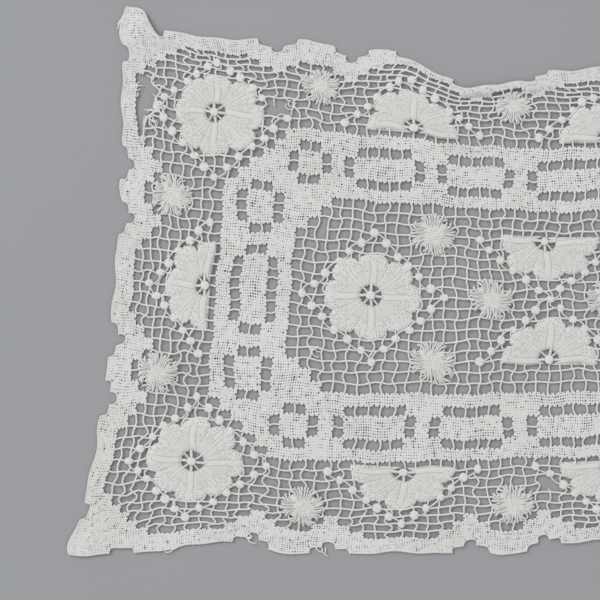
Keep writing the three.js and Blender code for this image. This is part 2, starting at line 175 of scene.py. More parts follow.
rosettes += [(math.trunc(along), math.trunc(across)) for along, across in wells]


def in_front(faces, out_along, out_across):
    """How far a place lies in front of a half flower's straight side, in meshes."""
    return [out_across, -out_along, -out_across, out_along, math.inf][faces]


# Stepped outline of the hem, as stretches of each side: where it starts, ends and is set in
CORNER_TAB, CORNER_NOTCH, FLOWER_TAB, NOTCH = 4, 2, 4, (1, 2, 1)
TURNED_UNDER = [(-44, -39, 1), (-39, -30, 2)]


def edge_runs(flower_places, end):
    """Tabs beyond the corners, flowers and rosettes of one side, with notches between them."""
    steps = [(CORNER_TAB - end, 0), (CORNER_TAB + CORNER_NOTCH - end, 1)]
    for flower in flower_places:
        if flower != flower_places[0]:
            rosette_end = flower - FLOWER_TAB - len(NOTCH)
            steps += [(steps[-1][0] + 1 + i, inset) for i, inset in enumerate(NOTCH)]
            steps.append((rosette_end, 0))
            steps += [(rosette_end + 1 + i, inset) for i, inset in enumerate(NOTCH)]
        steps.append((flower + FLOWER_TAB, 0))
    steps += [(end - CORNER_TAB, 1), (end, 0)]
    starts = [-end] + [stop for stop, _ in steps]
    return [(start, stop, inset) for start, (stop, inset) in zip(starts, steps)]


near_runs = edge_runs(LONG_SIDE_FLOWERS, RUNNER_ALONG)
side_runs = edge_runs(SHORT_SIDE_FLOWERS, RUNNER_ACROSS)
far_runs = []
for start, stop, inset in near_runs:
    inner = sorted({at for turned in TURNED_UNDER for at in turned[:2] if start < at < stop})
    for first, last in zip([start] + inner, inner + [stop]):
        under = [by for start, stop, by in TURNED_UNDER if start <= first and last <= stop]
        far_runs.append((first, last, *(under or [inset])))
HEM_STEP = 2


def side_places(runs):
    """Places along one side, no further apart than a step, and how far the edge is set in there."""
    places = []
    for start, stop, inset in runs:
        count = math.ceil((stop - start) / HEM_STEP) + 1
        places += [(at, inset) for at in np.linspace(start, stop, count).tolist()]
    return places


outline = [(at, inset - RUNNER_ACROSS) for at, inset in side_places(near_runs)]
outline += [(RUNNER_ALONG - inset, at) for at, inset in side_places(side_runs)]
outline += [(at, RUNNER_ACROSS - inset) for at, inset in reversed(side_places(far_runs))]
outline += [(inset - RUNNER_ALONG, at) for at, inset in reversed(side_places(side_runs))]
outline = np.array([place for i, place in enumerate(outline) if place != outline[i - 1]], float)

outline_places = pulled_place(outline[:, 0], outline[:, 1])
chart_middle = (outline_places.min(0) + outline_places.max(0)) / 2

# Height of the cloth over the table in millimetres: faint ripples, and two places that roll up
RIPPLE, RIPPLE_TURNS = 0.3, [(0.31, 0.23, 0), (0.19, -0.37, 1)]  # for each mesh along, across, start
ROLL_FULLNESS = 0.7
ROLLS = [  # from along, to along, from across, to across, rise in millimetres
    (-43.5, -29, 21.8, 24.8, 2.4),
    (-67.5, -62.5, 22.3, 26, 2.6),
]


def crossed_waves(along, across, turns):
    """Two sets of waves that run over each other, from -1 to 1."""
    first, second = [np.sin(a * along + b * across + start) for a, b, start in turns]
    return first * second


def lift(along, across):
    """Height of the cloth itself above the table."""
    height = RIPPLE * (1 + crossed_waves(along, across, RIPPLE_TURNS))
    for first, last, near, far, rise in ROLLS:
        roll = np.sin(math.pi * ramp(along, first, last)) ** ROLL_FULLNESS
        height = height + rise * roll * np.sin(math.pi * ramp(across, near, far))
    return height


def laid(places, height):
    """Points in metres for places of the chart at a height in millimetres above the cloth's own."""
    along, across = places[..., 0], places[..., 1]
    flat = pulled_place(along, across) - chart_middle
    rise = np.broadcast_to(height + lift(along, across), flat.shape[:-1])
    return np.concatenate([flat, rise[..., None]], -1) * MILLIMETRE


# Cells of the chart: open net, slots between the darned parts, and the darned parts themselves
LONG_FRAMES = [(-5, 5), (6, 14), (15, 23), (24, 32), (33, 40), (41, 48), (49, 53)]
SHORT_FRAMES = [(-4, 4), (5, 10)]
DASH_ROWS, FRAME_END_ROWS = (1, 4), (2, 3)
FLOWER_NET_SQUARE, FLOWER_NET_DIAMOND = 8, 10
WELL_SQUARE, WELL_DIAMOND = 2.5, 3.5
TEARS = [  # from along, to along, from across, to across
    (-67, -65, 15, 19), (-67, -66, 13, 15.5), (-54.6, -52, 16, 18), (-50, -49, 5, 7),
    (-31, -29, -19, -17),
]
SLIPPED_KNOTS = [  # knots at the rim of a tear: along, across, meshes right and up
    (-66, 19, -0.1, 0.35), (-65, 19, 0.1, 0.2), (-65, 18, 0.3, 0), (-65, 17, 0.4, 0),
    (-65, 16, 0.15, 0), (-65, 15, -0.25, 0), (-66, 15, 0.35, -0.3), (-66, 14, -0.1, -0.2),
    (-66, 13, -0.2, -0.3),
]

cell_along = np.arange(-RUNNER_ALONG, RUNNER_ALONG)[:, None] + 0.5
cell_across = np.arange(-RUNNER_ACROSS, RUNNER_ACROSS)[None, :] + 0.5


def insets(runs):
    """How far each mesh along a side is set in."""
    return np.concatenate([np.full(stop - start, inset) for start, stop, inset in runs])


inside = cell_across > insets(near_runs)[:, None] - RUNNER_ACROSS
inside &= cell_across < RUNNER_ACROSS - insets(far_runs)[:, None]
inside &= abs(cell_along) < RUNNER_ALONG - insets(side_runs)[None, :]
past_ends, past_sides = abs(cell_along) - FIELD_ALONG, abs(cell_across) - FIELD_ACROSS
past_field = np.maximum(past_ends, past_sides)
to_corner_flower = abs(abs(cell_along) - SHORT_ROW) + abs(abs(cell_across) - LONG_ROW)
in_band = (past_field > 0) & (past_field < BAND_WIDTH)
in_border = past_field > BAND_WIDTH
net = (past_field < 0) & (past_ends + past_sides <= -FIELD_CORNER_CUT)
net |= in_band & (to_corner_flower <= BAND_CORNER_CUT)
net |= in_border & (past_field < BAND_WIDTH + OPEN_BORDER)
motif_nets = [(*flower[:2], FLOWER_NET_SQUARE, FLOWER_NET_DIAMOND) for flower in flowers]
motif_nets += [(*well, WELL_SQUARE, WELL_DIAMOND) for well in wells]
for along, across, square, diamond in motif_nets:
    out, over = abs(cell_along - along), abs(cell_across - across)
    net |= in_border & (np.maximum(out, over) <= square) & (out + over <= diamond)

slots = np.zeros_like(net)
band_sides = [(LONG_FRAMES, cell_along, past_sides), (SHORT_FRAMES, cell_across, past_ends)]
for frames, run, past in band_sides:
    row = np.floor(past)
    for start, stop in frames:
        place = abs(run) if start > 0 else run
        framed = (place > start) & (place < stop)
        dashed = (place > start + 1) & (place < stop - 1)
        slots |= dashed & np.isin(row, DASH_ROWS)
        slots |= framed & ~dashed & np.isin(row, FRAME_END_ROWS)
net &= inside
slots &= in_band & ~net
darned = inside & ~net & ~slots
openings = net | slots

# Knots are drawn out of square: each is shifted, and turned against its neighbours, so that the
# threads across the runner bow to and fro and those along it run in long shallow waves
KNOT_SHIFT, KNOT_TURN, KNOT_STRAY, MOST_STRAY = 0.045, 0.36, 0.34, 2
HELD_AT, FREE_AT, LEAST_FREE = 0.5, 3, 0.15  # by the open cells round a knot
FIELD_SLACK, BORDER_SLACK, CORNER_SLACK, CORNER_ALONG, CORNER_ACROSS = 0.75, 0.9, 1.35, 51, 12
DRAWN_BY_ROSETTE, DRAWN_AT, DRAWN_OVER, LEAST_LENGTH = 0.16, 2, 0.5, 0.01
BOW_ALONG, BOW_ACROSS, BOW_IN_SLOT = 0.6, 1.6, 1.7
HIDDEN_BY_FLOWER, HIDDEN_BEHIND, HIDDEN_BY_ROSETTE = 3.6, 0.1, 1.1
THREAD_RADIUS, THREAD_SIDES, KNOT_SWELL, NET_HEIGHT = 0.53, 3, 1.25, 0.85
KNOT_CHANCE = 7  # each chance is the number that a run of random draws starts from

knots_along = np.arange(-RUNNER_ALONG, RUNNER_ALONG + 1)[:, None]
knots_across = np.arange(-RUNNER_ACROSS, RUNNER_ACROSS + 1)[None, :]
around = np.pad(openings, 1).astype(int)
around_slot = np.pad(slots, 1)
open_round_knot = around[1:, 1:] + around[:-1, 1:] + around[1:, :-1] + around[:-1, :-1]
freedom = np.maximum(ramp(open_round_knot, HELD_AT, FREE_AT), LEAST_FREE)
chance = np.random.default_rng(KNOT_CHANCE)
turned_against = np.where((knots_along + knots_across) % 2, KNOT_TURN, -KNOT_TURN)
in_field = (abs(knots_along) < FIELD_ALONG) & (abs(knots_across) < FIELD_ACROSS)
in_corner = (abs(knots_along) > CORNER_ALONG) & (abs(knots_across) > CORNER_ACROSS)
freedom *= np.select([in_field, in_corner], [FIELD_SLACK, CORNER_SLACK], BORDER_SLACK)
turn_stray = chance.normal(size=freedom.shape).clip(-MOST_STRAY, MOST_STRAY)
knot_turn = freedom * (turned_against + KNOT_STRAY * turn_stray)
knot_places = np.stack(np.broadcast_arrays(knots_along, knots_across), -1).astype(float)
place_stray = chance.normal(size=knot_places.shape).clip(-MOST_STRAY, MOST_STRAY)
knot_places += KNOT_SHIFT * freedom[..., None] * place_stray
for along, across, right, up in SLIPPED_KNOTS:
    knot_places[along + RUNNER_ALONG, across + RUNNER_ACROSS] += (right, up)
for rosette in rosettes:
    away = knot_places - rosette
    distance = np.maximum(np.linalg.norm(away, axis=-1, keepdims=True), LEAST_LENGTH)
    drawn_in = np.exp(-((distance - DRAWN_AT) / DRAWN_OVER) ** 2)
    knot_places -= DRAWN_BY_ROSETTE * away / distance * drawn_in


def covered(along, across):
    """Places that a flower or the middle of a rosette hides."""
    hidden = np.zeros(np.broadcast(along, across).shape, bool)
    for at_along, at_across, faces in flowers:
        out, over = along - at_along, across - at_across
        front = in_front(faces, out, over) > -HIDDEN_BEHIND
        hidden |= (np.hypot(out, over) < HIDDEN_BY_FLOWER) & front
    for at_along, at_across in rosettes:
        hidden |= np.hypot(along - at_along, across - at_across) < HIDDEN_BY_ROSETTE
    return hidden


def torn(along, across):
    """Places inside a tear, where the net has gone."""
    gone = np.zeros(np.broadcast(along, across).shape, bool)
    for first, last, near, far in TEARS:
        gone |= (along > first) & (along < last) & (across > near) & (across < far)
    return gone


def net_lines(direction):
    """Points, thicknesses and joined pairs of the net's threads that run one way."""
    step = np.eye(2, dtype=int)[direction]
    size = np.array(knot_turn.shape)
    first = tuple(slice(0, n - s) for n, s in zip(size, step))
    second = tuple(slice(s, n) for n, s in zip(size, step))
    low, high = [(slice(1, -1), side) if direction == 0 else (side, slice(1, -1))
                 for side in (slice(None, -1), slice(1, None))]
    beside = around[low] + around[high]
    in_slot = around_slot[low] & around_slot[high]
    middle_along = (knots_along + 0 * knots_across)[first] + step[0] / 2
    middle_across = (knots_across + 0 * knots_along)[first] + step[1] / 2
    hidden = covered(knots_along, knots_across)
    shown = (beside == 2) & ~(hidden[first] & hidden[second]) & ~torn(middle_along, middle_across)
    start, stop = knot_places[first], knot_places[second]
    slack = np.where(in_slot, BOW_IN_SLOT, BOW_ALONG if direction == 0 else BOW_ACROSS)
    turn_sign = 1 if direction == 0 else -1
    sideways = np.array([1 - step[0], 1 - step[1]])
    parts = [knot_places]
    shares = (1 / 2,) if direction == 0 else (1 / 3, 2 / 3)
    for t in shares:
        bow = t * (1 - t) ** 2 * knot_turn[first] - t * t * (1 - t) * knot_turn[second]
        parts.append(start + (stop - start) * t + (turn_sign * slack * bow)[..., None] * sideways)
    index = np.arange(size.prod()).reshape(size)
    inner = np.arange(start[..., 0].size).reshape(start.shape[:2]) + size.prod()
    chain = [index[first], *[inner + i * inner.size for i in range(len(shares))], index[second]]
    pairs = np.concatenate([np.stack([a[shown], b[shown]], -1) for a, b in zip(chain, chain[1:])])
    points = np.concatenate([part.reshape(-1, 2) for part in parts])
    swell = np.concatenate([np.full(size.prod(), KNOT_SWELL), np.ones(len(shares) * inner.size)])
    used, pairs = np.unique(pairs, return_inverse=True)
    return points[used], swell[used], pairs.reshape(-1, 2)


class Shade:
    """One socket of a material's nodes, so that shading is written as sums."""

    def __init__(self, tree, socket):
        self.tree = tree
        self.socket = socket

    def node(self, kind, settings, sockets, out=0):
        """A node of any kind: its settings first, then the values or links of its sockets."""
        made = self.tree.nodes.new(kind)
        for name, value in settings.items():
            setattr(made, name, value)
        for name, value in sockets.items():
            if isinstance(value, Shade):
                self.tree.links.new(value.socket, made.inputs[name])
            else:
                made.inputs[name].default_value = value
        return Shade(self.tree, made.outputs[out])

    def sum(self, operation, first, second):
        """What an operation makes of two values."""
        return self.node("ShaderNodeMath", {"operation": operation}, {0: first, 1: second})

    def __add__(self, other):
        return self.sum("ADD", self, other)

    def __radd__(self, other):
        return self.sum("ADD", other, self)

    def __sub__(self, other):
        return self.sum("SUBTRACT", self, other)

    def __rsub__(self, other):
        return self.sum("SUBTRACT", other, self)

    def __mul__(self, other):
        return self.sum("MULTIPLY", self, other)

    def __gt__(self, other):
        return self.sum("GREATER_THAN", self, other)

    def through(self, operation):
        """What an operation makes of this value by itself."""
        return self.sum(operation, self, 0)

    def size(self):
        """How far from 0 it is, either way."""
        return self.through("ABSOLUTE")

    def kept(self, name):
        """A vector that is kept with the points of the mesh."""
        return self.node("ShaderNodeAttribute", {"attribute_name": name}, {}, out="Vector")

    def parts(self):
        """The three parts of a vector."""
        split = self.node("ShaderNodeSeparateXYZ", {}, {0: self}).socket.node
        return [Shade(self.tree, socket) for socket in split.outputs]

    def noise(self, scale, detail):
        """Even mottling over the surface, from 0 to 1, with so many grains to the metre."""
        return self.node("ShaderNodeTexNoise", {}, {"Vector": self, "Scale": scale, "Detail": detail})

    def between(self, low, high):
        """0 below low, 1 above high and smooth between."""
        sockets = {"Value": self, "From Min": low, "From Max": high}
        return self.node("ShaderNodeMapRange", {"interpolation_type": "SMOOTHSTEP"}, sockets)

    def mixed(self, first, second):
        """One colour where this is 0 and the other where it is 1."""
        colours = {6: first, 7: second}  # the numbers of the node's two colour sockets
        return self.node("ShaderNodeMix", {"data_type": "RGBA"}, {0: self, **colours}, out=2)


# Looks of the cotton: grains to the metre and their detail, and how much each of them shows
AGE_PATCHES, MOTTLES, FIBRES = (22, 3), (420, 2), (2600, 1)
AGED_BETWEEN, SHADED_BETWEEN, SHADE_DEPTH, SHADE_TONE = (0.42, 0.72), (0.55, 0.25), 0.16, 0.45
MOTTLE_SHADE, FIBRE_SHADE, MOTTLE_BUMP, FIBRE_BUMP = 0.6, 0.4, 0.5, 0.5
BUMP_STRENGTH, BUMP_HEIGHT, ROUGH, ROUGHER, SHEEN, SHINE = 0.35, 0.0003, 0.78, 0.2, 0.12, 0.25
NET_WHITE, NET_AGED = (0.73, 0.728, 0.715), (0.70, 0.69, 0.665)


def cotton(name, clean, aged, relief=None):
    """Matt cotton thread: aged in patches, mottled from fibre to fibre, with a fibrous bump."""
    material = bpy.data.materials.new(name)
    material.use_nodes = True
    tree = material.node_tree
    shader = tree.nodes["Principled BSDF"]
    place = Shade(tree, tree.nodes.new("ShaderNodeTexCoord").outputs["Object"])
    age = place.noise(*AGE_PATCHES).between(*AGED_BETWEEN)
    mottle = place.noise(*MOTTLES)
    fibre = place.noise(*FIBRES)
    colour = age.mixed((*clean, 1), (*aged, 1))
    shaded = (mottle * MOTTLE_SHADE + fibre * FIBRE_SHADE).between(*SHADED_BETWEEN) * SHADE_DEPTH
    colour = shaded.mixed(colour, (*[SHADE_TONE * part for part in aged], 1))
    bump = fibre * FIBRE_BUMP + mottle * MOTTLE_BUMP
    if relief is not None:
        colour, bump = relief(place, colour, bump)
    lumpy = {"Strength": BUMP_STRENGTH, "Distance": BUMP_HEIGHT, "Height": bump}
    normal = place.node("ShaderNodeBump", {}, lumpy)
    rough = ROUGH + mottle * ROUGHER
    for part, socket in (colour, "Base Color"), (rough, "Roughness"), (normal, "Normal"):
        tree.links.new(part.socket, shader.inputs[socket])
    shader.inputs["Sheen Weight"].default_value = SHEEN
    shader.inputs["Specular IOR Level"].default_value = SHINE
    return material


def new_tree(name, inputs, output, kinds):
    """A tree of nodes: what it is given, the socket for what it makes, and a node of each kind."""
    tree = bpy.data.node_groups.new(name, "GeometryNodeTree")
    for label, kind in inputs.items():
        tree.interface.new_socket(label, in_out="INPUT", socket_type="NodeSocket" + kind)
    tree.interface.new_socket(output, in_out="OUTPUT", socket_type="NodeSocketGeometry")
    given = tree.nodes.new("NodeGroupInput").outputs
    made = tree.nodes.new("NodeGroupOutput").inputs[output]
    return tree, given, made, [tree.nodes.new("GeometryNode" + kind) for kind in kinds]


def thread_tree():
    """Nodes that make round threads of drawn lines, as thick at each point as it says."""
    inputs = {"Lines": "Geometry", "Radius": "Float", "Sides": "Int", "Thread": "Material"}
    tree, given, made, nodes = new_tree("threads", inputs, "Threads", [
        "MeshToCurve", "SetCurveNormal", "CurvePrimitiveCircle", "Transform", "InputNamedAttribute",
        "CurveToMesh", "SetShadeSmooth", "RealizeInstances", "SetMaterial",
    ])
    line, upright, ring, turned, thick, tube, smooth, real, finish = nodes
    upright.mode = "Z_UP"
    turned.inputs["Rotation"].default_value = (0, 0, math.pi / 2)
    thick.data_type = "FLOAT"
    thick.inputs["Name"].default_value = "thickness"
    tube.inputs["Fill Caps"].default_value = True
    for source, target in [
        (given["Lines"], line.inputs["Mesh"]),
        (line.outputs["Curve"], upright.inputs["Curve"]),
        (upright.outputs["Curve"], tube.inputs["Curve"]),
        (given["Sides"], ring.inputs["Resolution"]),
        (given["Radius"], ring.inputs["Radius"]),
        (ring.outputs["Curve"], turned.inputs["Geometry"]),
        (turned.outputs["Geometry"], tube.inputs["Profile Curve"]),
        (thick.outputs["Attribute"], tube.inputs["Scale"]),
        (tube.outputs["Mesh"], smooth.inputs["Geometry"]),
        (smooth.outputs["Geometry"], real.inputs["Geometry"]),
        (real.outputs["Geometry"], finish.inputs["Geometry"]),
        (given["Thread"], finish.inputs["Material"]),
        (finish.outputs["Geometry"], made),
    ]:
        tree.links.new(source, target)
    return tree


def grown(name, mesh, tree, values):
    """The plain mesh that a node tree makes of a mesh, as a piece of the runner."""
    piece = bpy.data.objects.new(name, mesh)
    bpy.context.scene.collection.objects.link(piece)
    nodes = piece.modifiers.new("nodes", "NODES")
    nodes.node_group = tree
    for socket in tree.interface.items_tree:
        if socket.name in values:
            nodes[socket.identifier] = values[socket.name]
    shaped = piece.evaluated_get(bpy.context.evaluated_depsgraph_get())
    plain = bpy.data.meshes.new_from_object(shaped)
    piece.modifiers.remove(nodes)
    piece.data = plain
    bpy.data.meshes.remove(mesh)
    return piece


threads = thread_tree()


def drawn_threads(name, places, heights, thickness, pairs, radius, sides, material):
    """Threads along lines drawn on the chart, through the pairs of places that they join."""
    points = laid(places, heights)
    lines = bpy.data.meshes.new(name)
    lines.vertices.add(len(points))
    lines.vertices.foreach_set("co", points.astype(np.float32).ravel())
    lines.edges.add(len(pairs))
    lines.edges.foreach_set("vertices", np.asarray(pairs, np.int32).ravel())
    swell = lines.attributes.new("thickness", "FLOAT", "POINT")
    swell.data.foreach_set("value", np.asarray(thickness, np.float32))
    values = {"Radius": radius * MILLIMETRE, "Sides": sides, "Thread": material}
    return grown(name, lines, threads, values)


net_cotton = cotton("net_cotton", NET_WHITE, NET_AGED)
both_ways = [net_lines(0), net_lines(1)]
net_places, net_swell = [np.concatenate([lines[i] for lines in both_ways]) for i in (0, 1)]
net_pairs = np.concatenate([both_ways[0][2], both_ways[1][2] + len(both_ways[0][0])])
net_piece = drawn_threads(
    "knotted_net", net_places, NET_HEIGHT, net_swell, net_pairs, THREAD_RADIUS, THREAD_SIDES,
    net_cotton)
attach(net_piece, "root")
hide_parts("lace_runner")

# Band
# Round the field the net is darned solid in cloth stitch: four threads to a mesh run along it and
# five across, over one and under one. They turn back in pairs at each opening of the pattern, and
# stand apart here and there in pinholes.
THREADS_A_MESH = (4, 5)
WEAVE_HEIGHT, WEAVE_SWING, WEAVE_TOP, WEAVE_KEEL = 0.85, 0.045, 0.22, 0.45
TURN_BACK, TURN_WIDTH, LOOSE_END, PAIR_LEAN = 0.1, 0.85, 0.02, 0.3
TURN_UNEVEN, THREAD_STRAY, WIDTH_STRAY = (0.7, 1.3), 0.012, 0.04
PINHOLE_DEPTH, LOOSE_ZONES, UNEVEN, WEAVE_FILL = 0.8, 0.1, 0.24, 1.04
ZONE_TURNS = [(0.11, 0.07, 0), (0.05, -0.13, 0)]  # for each thread along, across, start


def woven_lines(cells, direction, pinholes, chance):
    """Stations of the darning threads that run one way over the cells, one array for each thread."""
    beyond = np.pad(openings, 1)
    sites = pinholes if direction == 0 else pinholes.T
    beside = np.maximum(sites[:-1], sites[1:])
    threads, crossed = THREADS_A_MESH[direction], THREADS_A_MESH[1 - direction]
    half_width = 0.5 / threads
    runs = []
    for lane in range(cells.shape[1 - direction]):
        filled = np.pad(np.take(cells, lane, 1 - direction).astype(int), 1)
        starts, stops = np.flatnonzero(np.diff(filled) == 1), np.flatnonzero(np.diff(filled) == -1)
        open_next = np.take(beyond, lane + 1, 1 - direction)
        for start, stop in zip(starts, stops):
            turns = [TURN_BACK if open_next[at] else LOOSE_END for at in (start, stop + 1)]
            for number in range(lane * threads, (lane + 1) * threads):
                crossings = np.arange(start * crossed, stop * crossed)
                over = np.where((crossings + number + direction) % 2, 1, -1)
                past = turns * chance.uniform(*TURN_UNEVEN, 2)
                inner = (crossings + 0.5) / crossed
                run = np.concatenate([[start - past[0]], inner, [stop + past[1]]])
                middle = (number + 0.5) / threads + chance.normal(0, THREAD_STRAY, len(run))
                middle[[0, -1]] += PAIR_LEAN / threads * (1 if number % 2 == 0 else -1)
                sides = []
                for edge in number, number + 1:
                    width = WEAVE_FILL + chance.normal(0, WIDTH_STRAY, len(crossings))
                    width -= PINHOLE_DEPTH * beside[crossings, edge]
                    sides.append(half_width * np.concatenate([[TURN_WIDTH], width, [TURN_WIDTH]]))
                swing = WEAVE_SWING * np.concatenate([[-1], over, [-1]])
                runs.append(np.stack([run, middle, *sides, WEAVE_HEIGHT + swing], -1))
    return runs


def plain_piece(name, places, heights, faces, material, smooth=True):
    """A piece over places of the chart, with groups of faces that have as many corners each."""
    points = laid(places, heights)
    mesh = bpy.data.meshes.new(name)
    mesh.vertices.add(len(points))
    mesh.vertices.foreach_set("co", points.astype(np.float32).ravel())
    sizes = np.concatenate([np.full(len(group), group.shape[1]) for group in faces])
    corners = np.concatenate([group.ravel() for group in faces])
    mesh.loops.add(len(corners))
    mesh.loops.foreach_set("vertex_index", corners.astype(np.int32))
    mesh.polygons.add(len(sizes))
    mesh.polygons.foreach_set("loop_start", (np.cumsum(sizes) - sizes).astype(np.int32))
    mesh.polygons.foreach_set("use_smooth", np.full(len(sizes), smooth))
    mesh.update(calc_edges=True)
    mesh.materials.append(material)
    piece = bpy.data.objects.new(name, mesh)
    bpy.context.scene.collection.objects.link(piece)
    return piece


def cloth_stitch(name, cells, loose, material, start):
    """Darned cloth over cells of the chart, as threads that are broad above and narrow below."""
    chance = np.random.default_rng(start)
    corners = [cells.shape[i] * THREADS_A_MESH[1 - i] + 1 for i in (0, 1)]
    i, j = np.indices(corners)
    zones = crossed_waves(i, j, ZONE_TURNS)
    pinholes = np.clip(loose + LOOSE_ZONES * zones + UNEVEN * chance.normal(size=corners), 0, 1)
    places, quads, ends, offset = [], [], [], 0
    for direction in (0, 1):
        for run in woven_lines(cells, direction, pinholes, chance):
            along, middle, low_side, high_side, height = run.T
            left = middle + high_side if direction == 0 else middle - low_side
            right = middle - low_side if direction == 0 else middle + high_side
            top, keel = height + WEAVE_TOP, height - WEAVE_KEEL
            for side, z in (left, top), (right, top), (middle, keel):
                ordered = (along, side) if direction == 0 else (side, along)
                places.append(np.stack([*ordered, z], -1))
            count = len(run)
            corner = offset + np.arange(3)[:, None] * count + np.arange(count)
            for one, other in (0, 1), (1, 2), (2, 0):
                a, b = corner[one], corner[other]
                quads.append(np.stack([a[:-1], b[:-1], b[1:], a[1:]], -1))
            ends.append(corner[[0, 2, 1], 0])
            ends.append(corner[:, -1])
            offset += 3 * count
    places = np.concatenate(places)
    places[:, :2] -= (RUNNER_ALONG, RUNNER_ACROSS)
    faces = [np.concatenate(quads), np.array(ends)]
    return plain_piece(name, places, places[:, 2], faces, material, smooth=False)


BAND_LOOSE, BAND_LEFT_CHANCE, BAND_RIGHT_CHANCE = 0.32, 11, 12
# The same cotton as the net's, toned darker to offset the light that this part catches: painted shade
DARNED_WHITE_SHADED, DARNED_AGED_SHADED = (0.652, 0.651, 0.642), (0.628, 0.62, 0.6)
darned_cotton = cotton("darned_cotton", DARNED_WHITE_SHADED, DARNED_AGED_SHADED)
band = darned & (past_field < BAND_WIDTH)
in_left_half = np.broadcast_to(cell_along < 0, band.shape)
band_pieces = [
    cloth_stitch("band_left", band & in_left_half, BAND_LOOSE, darned_cotton, BAND_LEFT_CHANCE),
    cloth_stitch("band_right", band & ~in_left_half, BAND_LOOSE, darned_cotton, BAND_RIGHT_CHANCE),
]
for piece in band_pieces:
    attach(piece, "root")
    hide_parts("lace_runner")

# Hem
# The stepped edge is darned closer in the same cloth stitch, and its outline is buttonholed
# over a cord, so that it stays firm. It is part of the net, not a strip sewn on.
HEM_LOOSE, HEM_LEFT_CHANCE, HEM_RIGHT_CHANCE, EDGE_CHANCE = 0.27, 13, 15, 14
EDGE_RADIUS, EDGE_SIDES, EDGE_HEIGHT, EDGE_STITCH = 0.62, 4, 0.75, 0.13
EDGE_ROUNDINGS, EDGE_CORNER_CUT = 2, 0.3
EDGE_BEADS, EDGE_UNEVEN = (1.15, 0.75), (0.85, 1.15)

hem = darned & (past_field > BAND_WIDTH)
hem_pieces = [
    cloth_stitch("hem_left", hem & in_left_half, HEM_LOOSE, darned_cotton, HEM_LEFT_CHANCE),
    cloth_stitch("hem_right", hem & ~in_left_half, HEM_LOOSE, darned_cotton, HEM_RIGHT_CHANCE),
]

corners = outline
for _ in range(EDGE_ROUNDINGS):
    after = np.roll(corners, -1, 0)
    length = np.maximum(np.linalg.norm(after - corners, axis=1, keepdims=True), LEAST_LENGTH)
    cut = (after - corners) * (np.minimum(EDGE_CORNER_CUT, EDGE_CORNER_CUT * length) / length)
    corners = np.stack([corners + cut, after - cut], 1).reshape(-1, 2)
corners = np.append(corners, corners[:1], 0)
lengths = np.linalg.norm(np.diff(corners, axis=0), axis=1)
stitches = int(lengths.sum() / EDGE_STITCH / 2) * 2
stitch = np.arange(stitches)
travelled = np.concatenate([[0], np.cumsum(lengths)])
at = stitch / stitches * travelled[-1]
edge = np.stack([np.interp(at, travelled, corners[:, i]) for i in (0, 1)], -1)
chance = np.random.default_rng(EDGE_CHANCE)
edge_swell = np.where(stitch % 2, *EDGE_BEADS) * chance.uniform(*EDGE_UNEVEN, stitches)
edge_pairs = np.stack([stitch, np.roll(stitch, -1)], -1)
edge_piece = drawn_threads(
    "hem_edge", edge, EDGE_HEIGHT, edge_swell, edge_pairs, EDGE_RADIUS, EDGE_SIDES, darned_cotton)
for piece in (*hem_pieces, edge_piece):
    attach(piece, "root")
    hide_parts("lace_runner")

# Flowers
# Eight petals are woven with the needle to and fro on spokes laid over the net, so that each
# stands up on a smooth rib down its middle. The open eye is left with a small woven wheel.
PETALS, COLUMNS_A_PETAL, FLOWER_ROWS = 8, 24, 13
PETAL_TIP, PETAL_CLEFT, EYE = 4.15, 3.4, 0.92
PETAL_STRAY, EYE_STRAY, TOOTH, FLOWER_STRAY = 0.06, 0.05, 0.05, 0.02
FLOWER_LOW, FLOWER_LEAST, FLOWER_RIM, FLOWER_TOP = 0.3, 0.5, 0.75, 1.45
RIB_RISE, RIB_HALF, RIB_ROUND, SLANT_RIB = 0.1, 0.25, 0.6, 1.9
GROOVE, GROOVE_AWAY, GROOVE_HALF, STRAND = 0.12, 0.05, 0.06, 0.03
CLEFT_INNER, CLEFT_OUTER, CLEFT_HALF = 0.2, 0.48, 0.1
HALF_FLOWER_RIM, RIM_ENDS_AT = 0.45, 0.09
WEFTS_A_MESH, FIRST_WARP, FLOWER_CHANCE = 4.5, 100.5, 21
SPOKE_PLACES = (0.45, 0.64, 0.82, 1.0)
# Where these begin and are full, as shares of the way from the eye to the tip
RIB_STARTS, RIB_STOPS, EYE_SLOPE, RIM_SLOPE = (0.02, 0.14), (0.82, 0.66), (0, 0.08), (1, 0.9)
LINE_STARTS, LINE_STOPS, SPOKE_STOPS, LOOSE_STARTS = (0.0, 0.06), (0.86, 0.6), (0.9, 0.4), (0.3, 0.5)
# Widths of the fine lines between the threads, how dark the painted shade in them is, and how deep
# they are
LINE_AWAY, LINE_EDGE, LINE_SHADE_DARK, LINE_DEEP = 0.04, (0.07, 0.02), 0.36, 0.7
SPOKE_CLEAR, SPOKE_EDGE, SPOKE_SHARE = 0.12, (0.05, 0.01), 0.6
# Pinholes: how wide and long, their edge, the share of places that have one, and how dark their
# painted shade is
PRICK_WIDE, PRICK_LONG, PRICK_EDGE, PRICK_SHARE, PAINTED_PRICK_SHADE = 14, 10, (1.0, 0.3), 0.5, 0.7
# Colours of the painted shade in the fine lines and in the pinholes
LINE_SHADE_COLOUR, PINHOLE_SHADE_COLOUR = (0.24, 0.23, 0.2, 1), (0.17, 0.16, 0.14, 1)
WOVEN_FIBRE, ROW_HIGH, ROW_LOWER = 0.5, 0.4, 0.3
# The same cotton as the net's, toned darker to offset the light that this part catches: painted shade
FLOWER_WHITE_SHADED, FLOWER_AGED_SHADED = (0.635, 0.634, 0.62), (0.615, 0.607, 0.583)


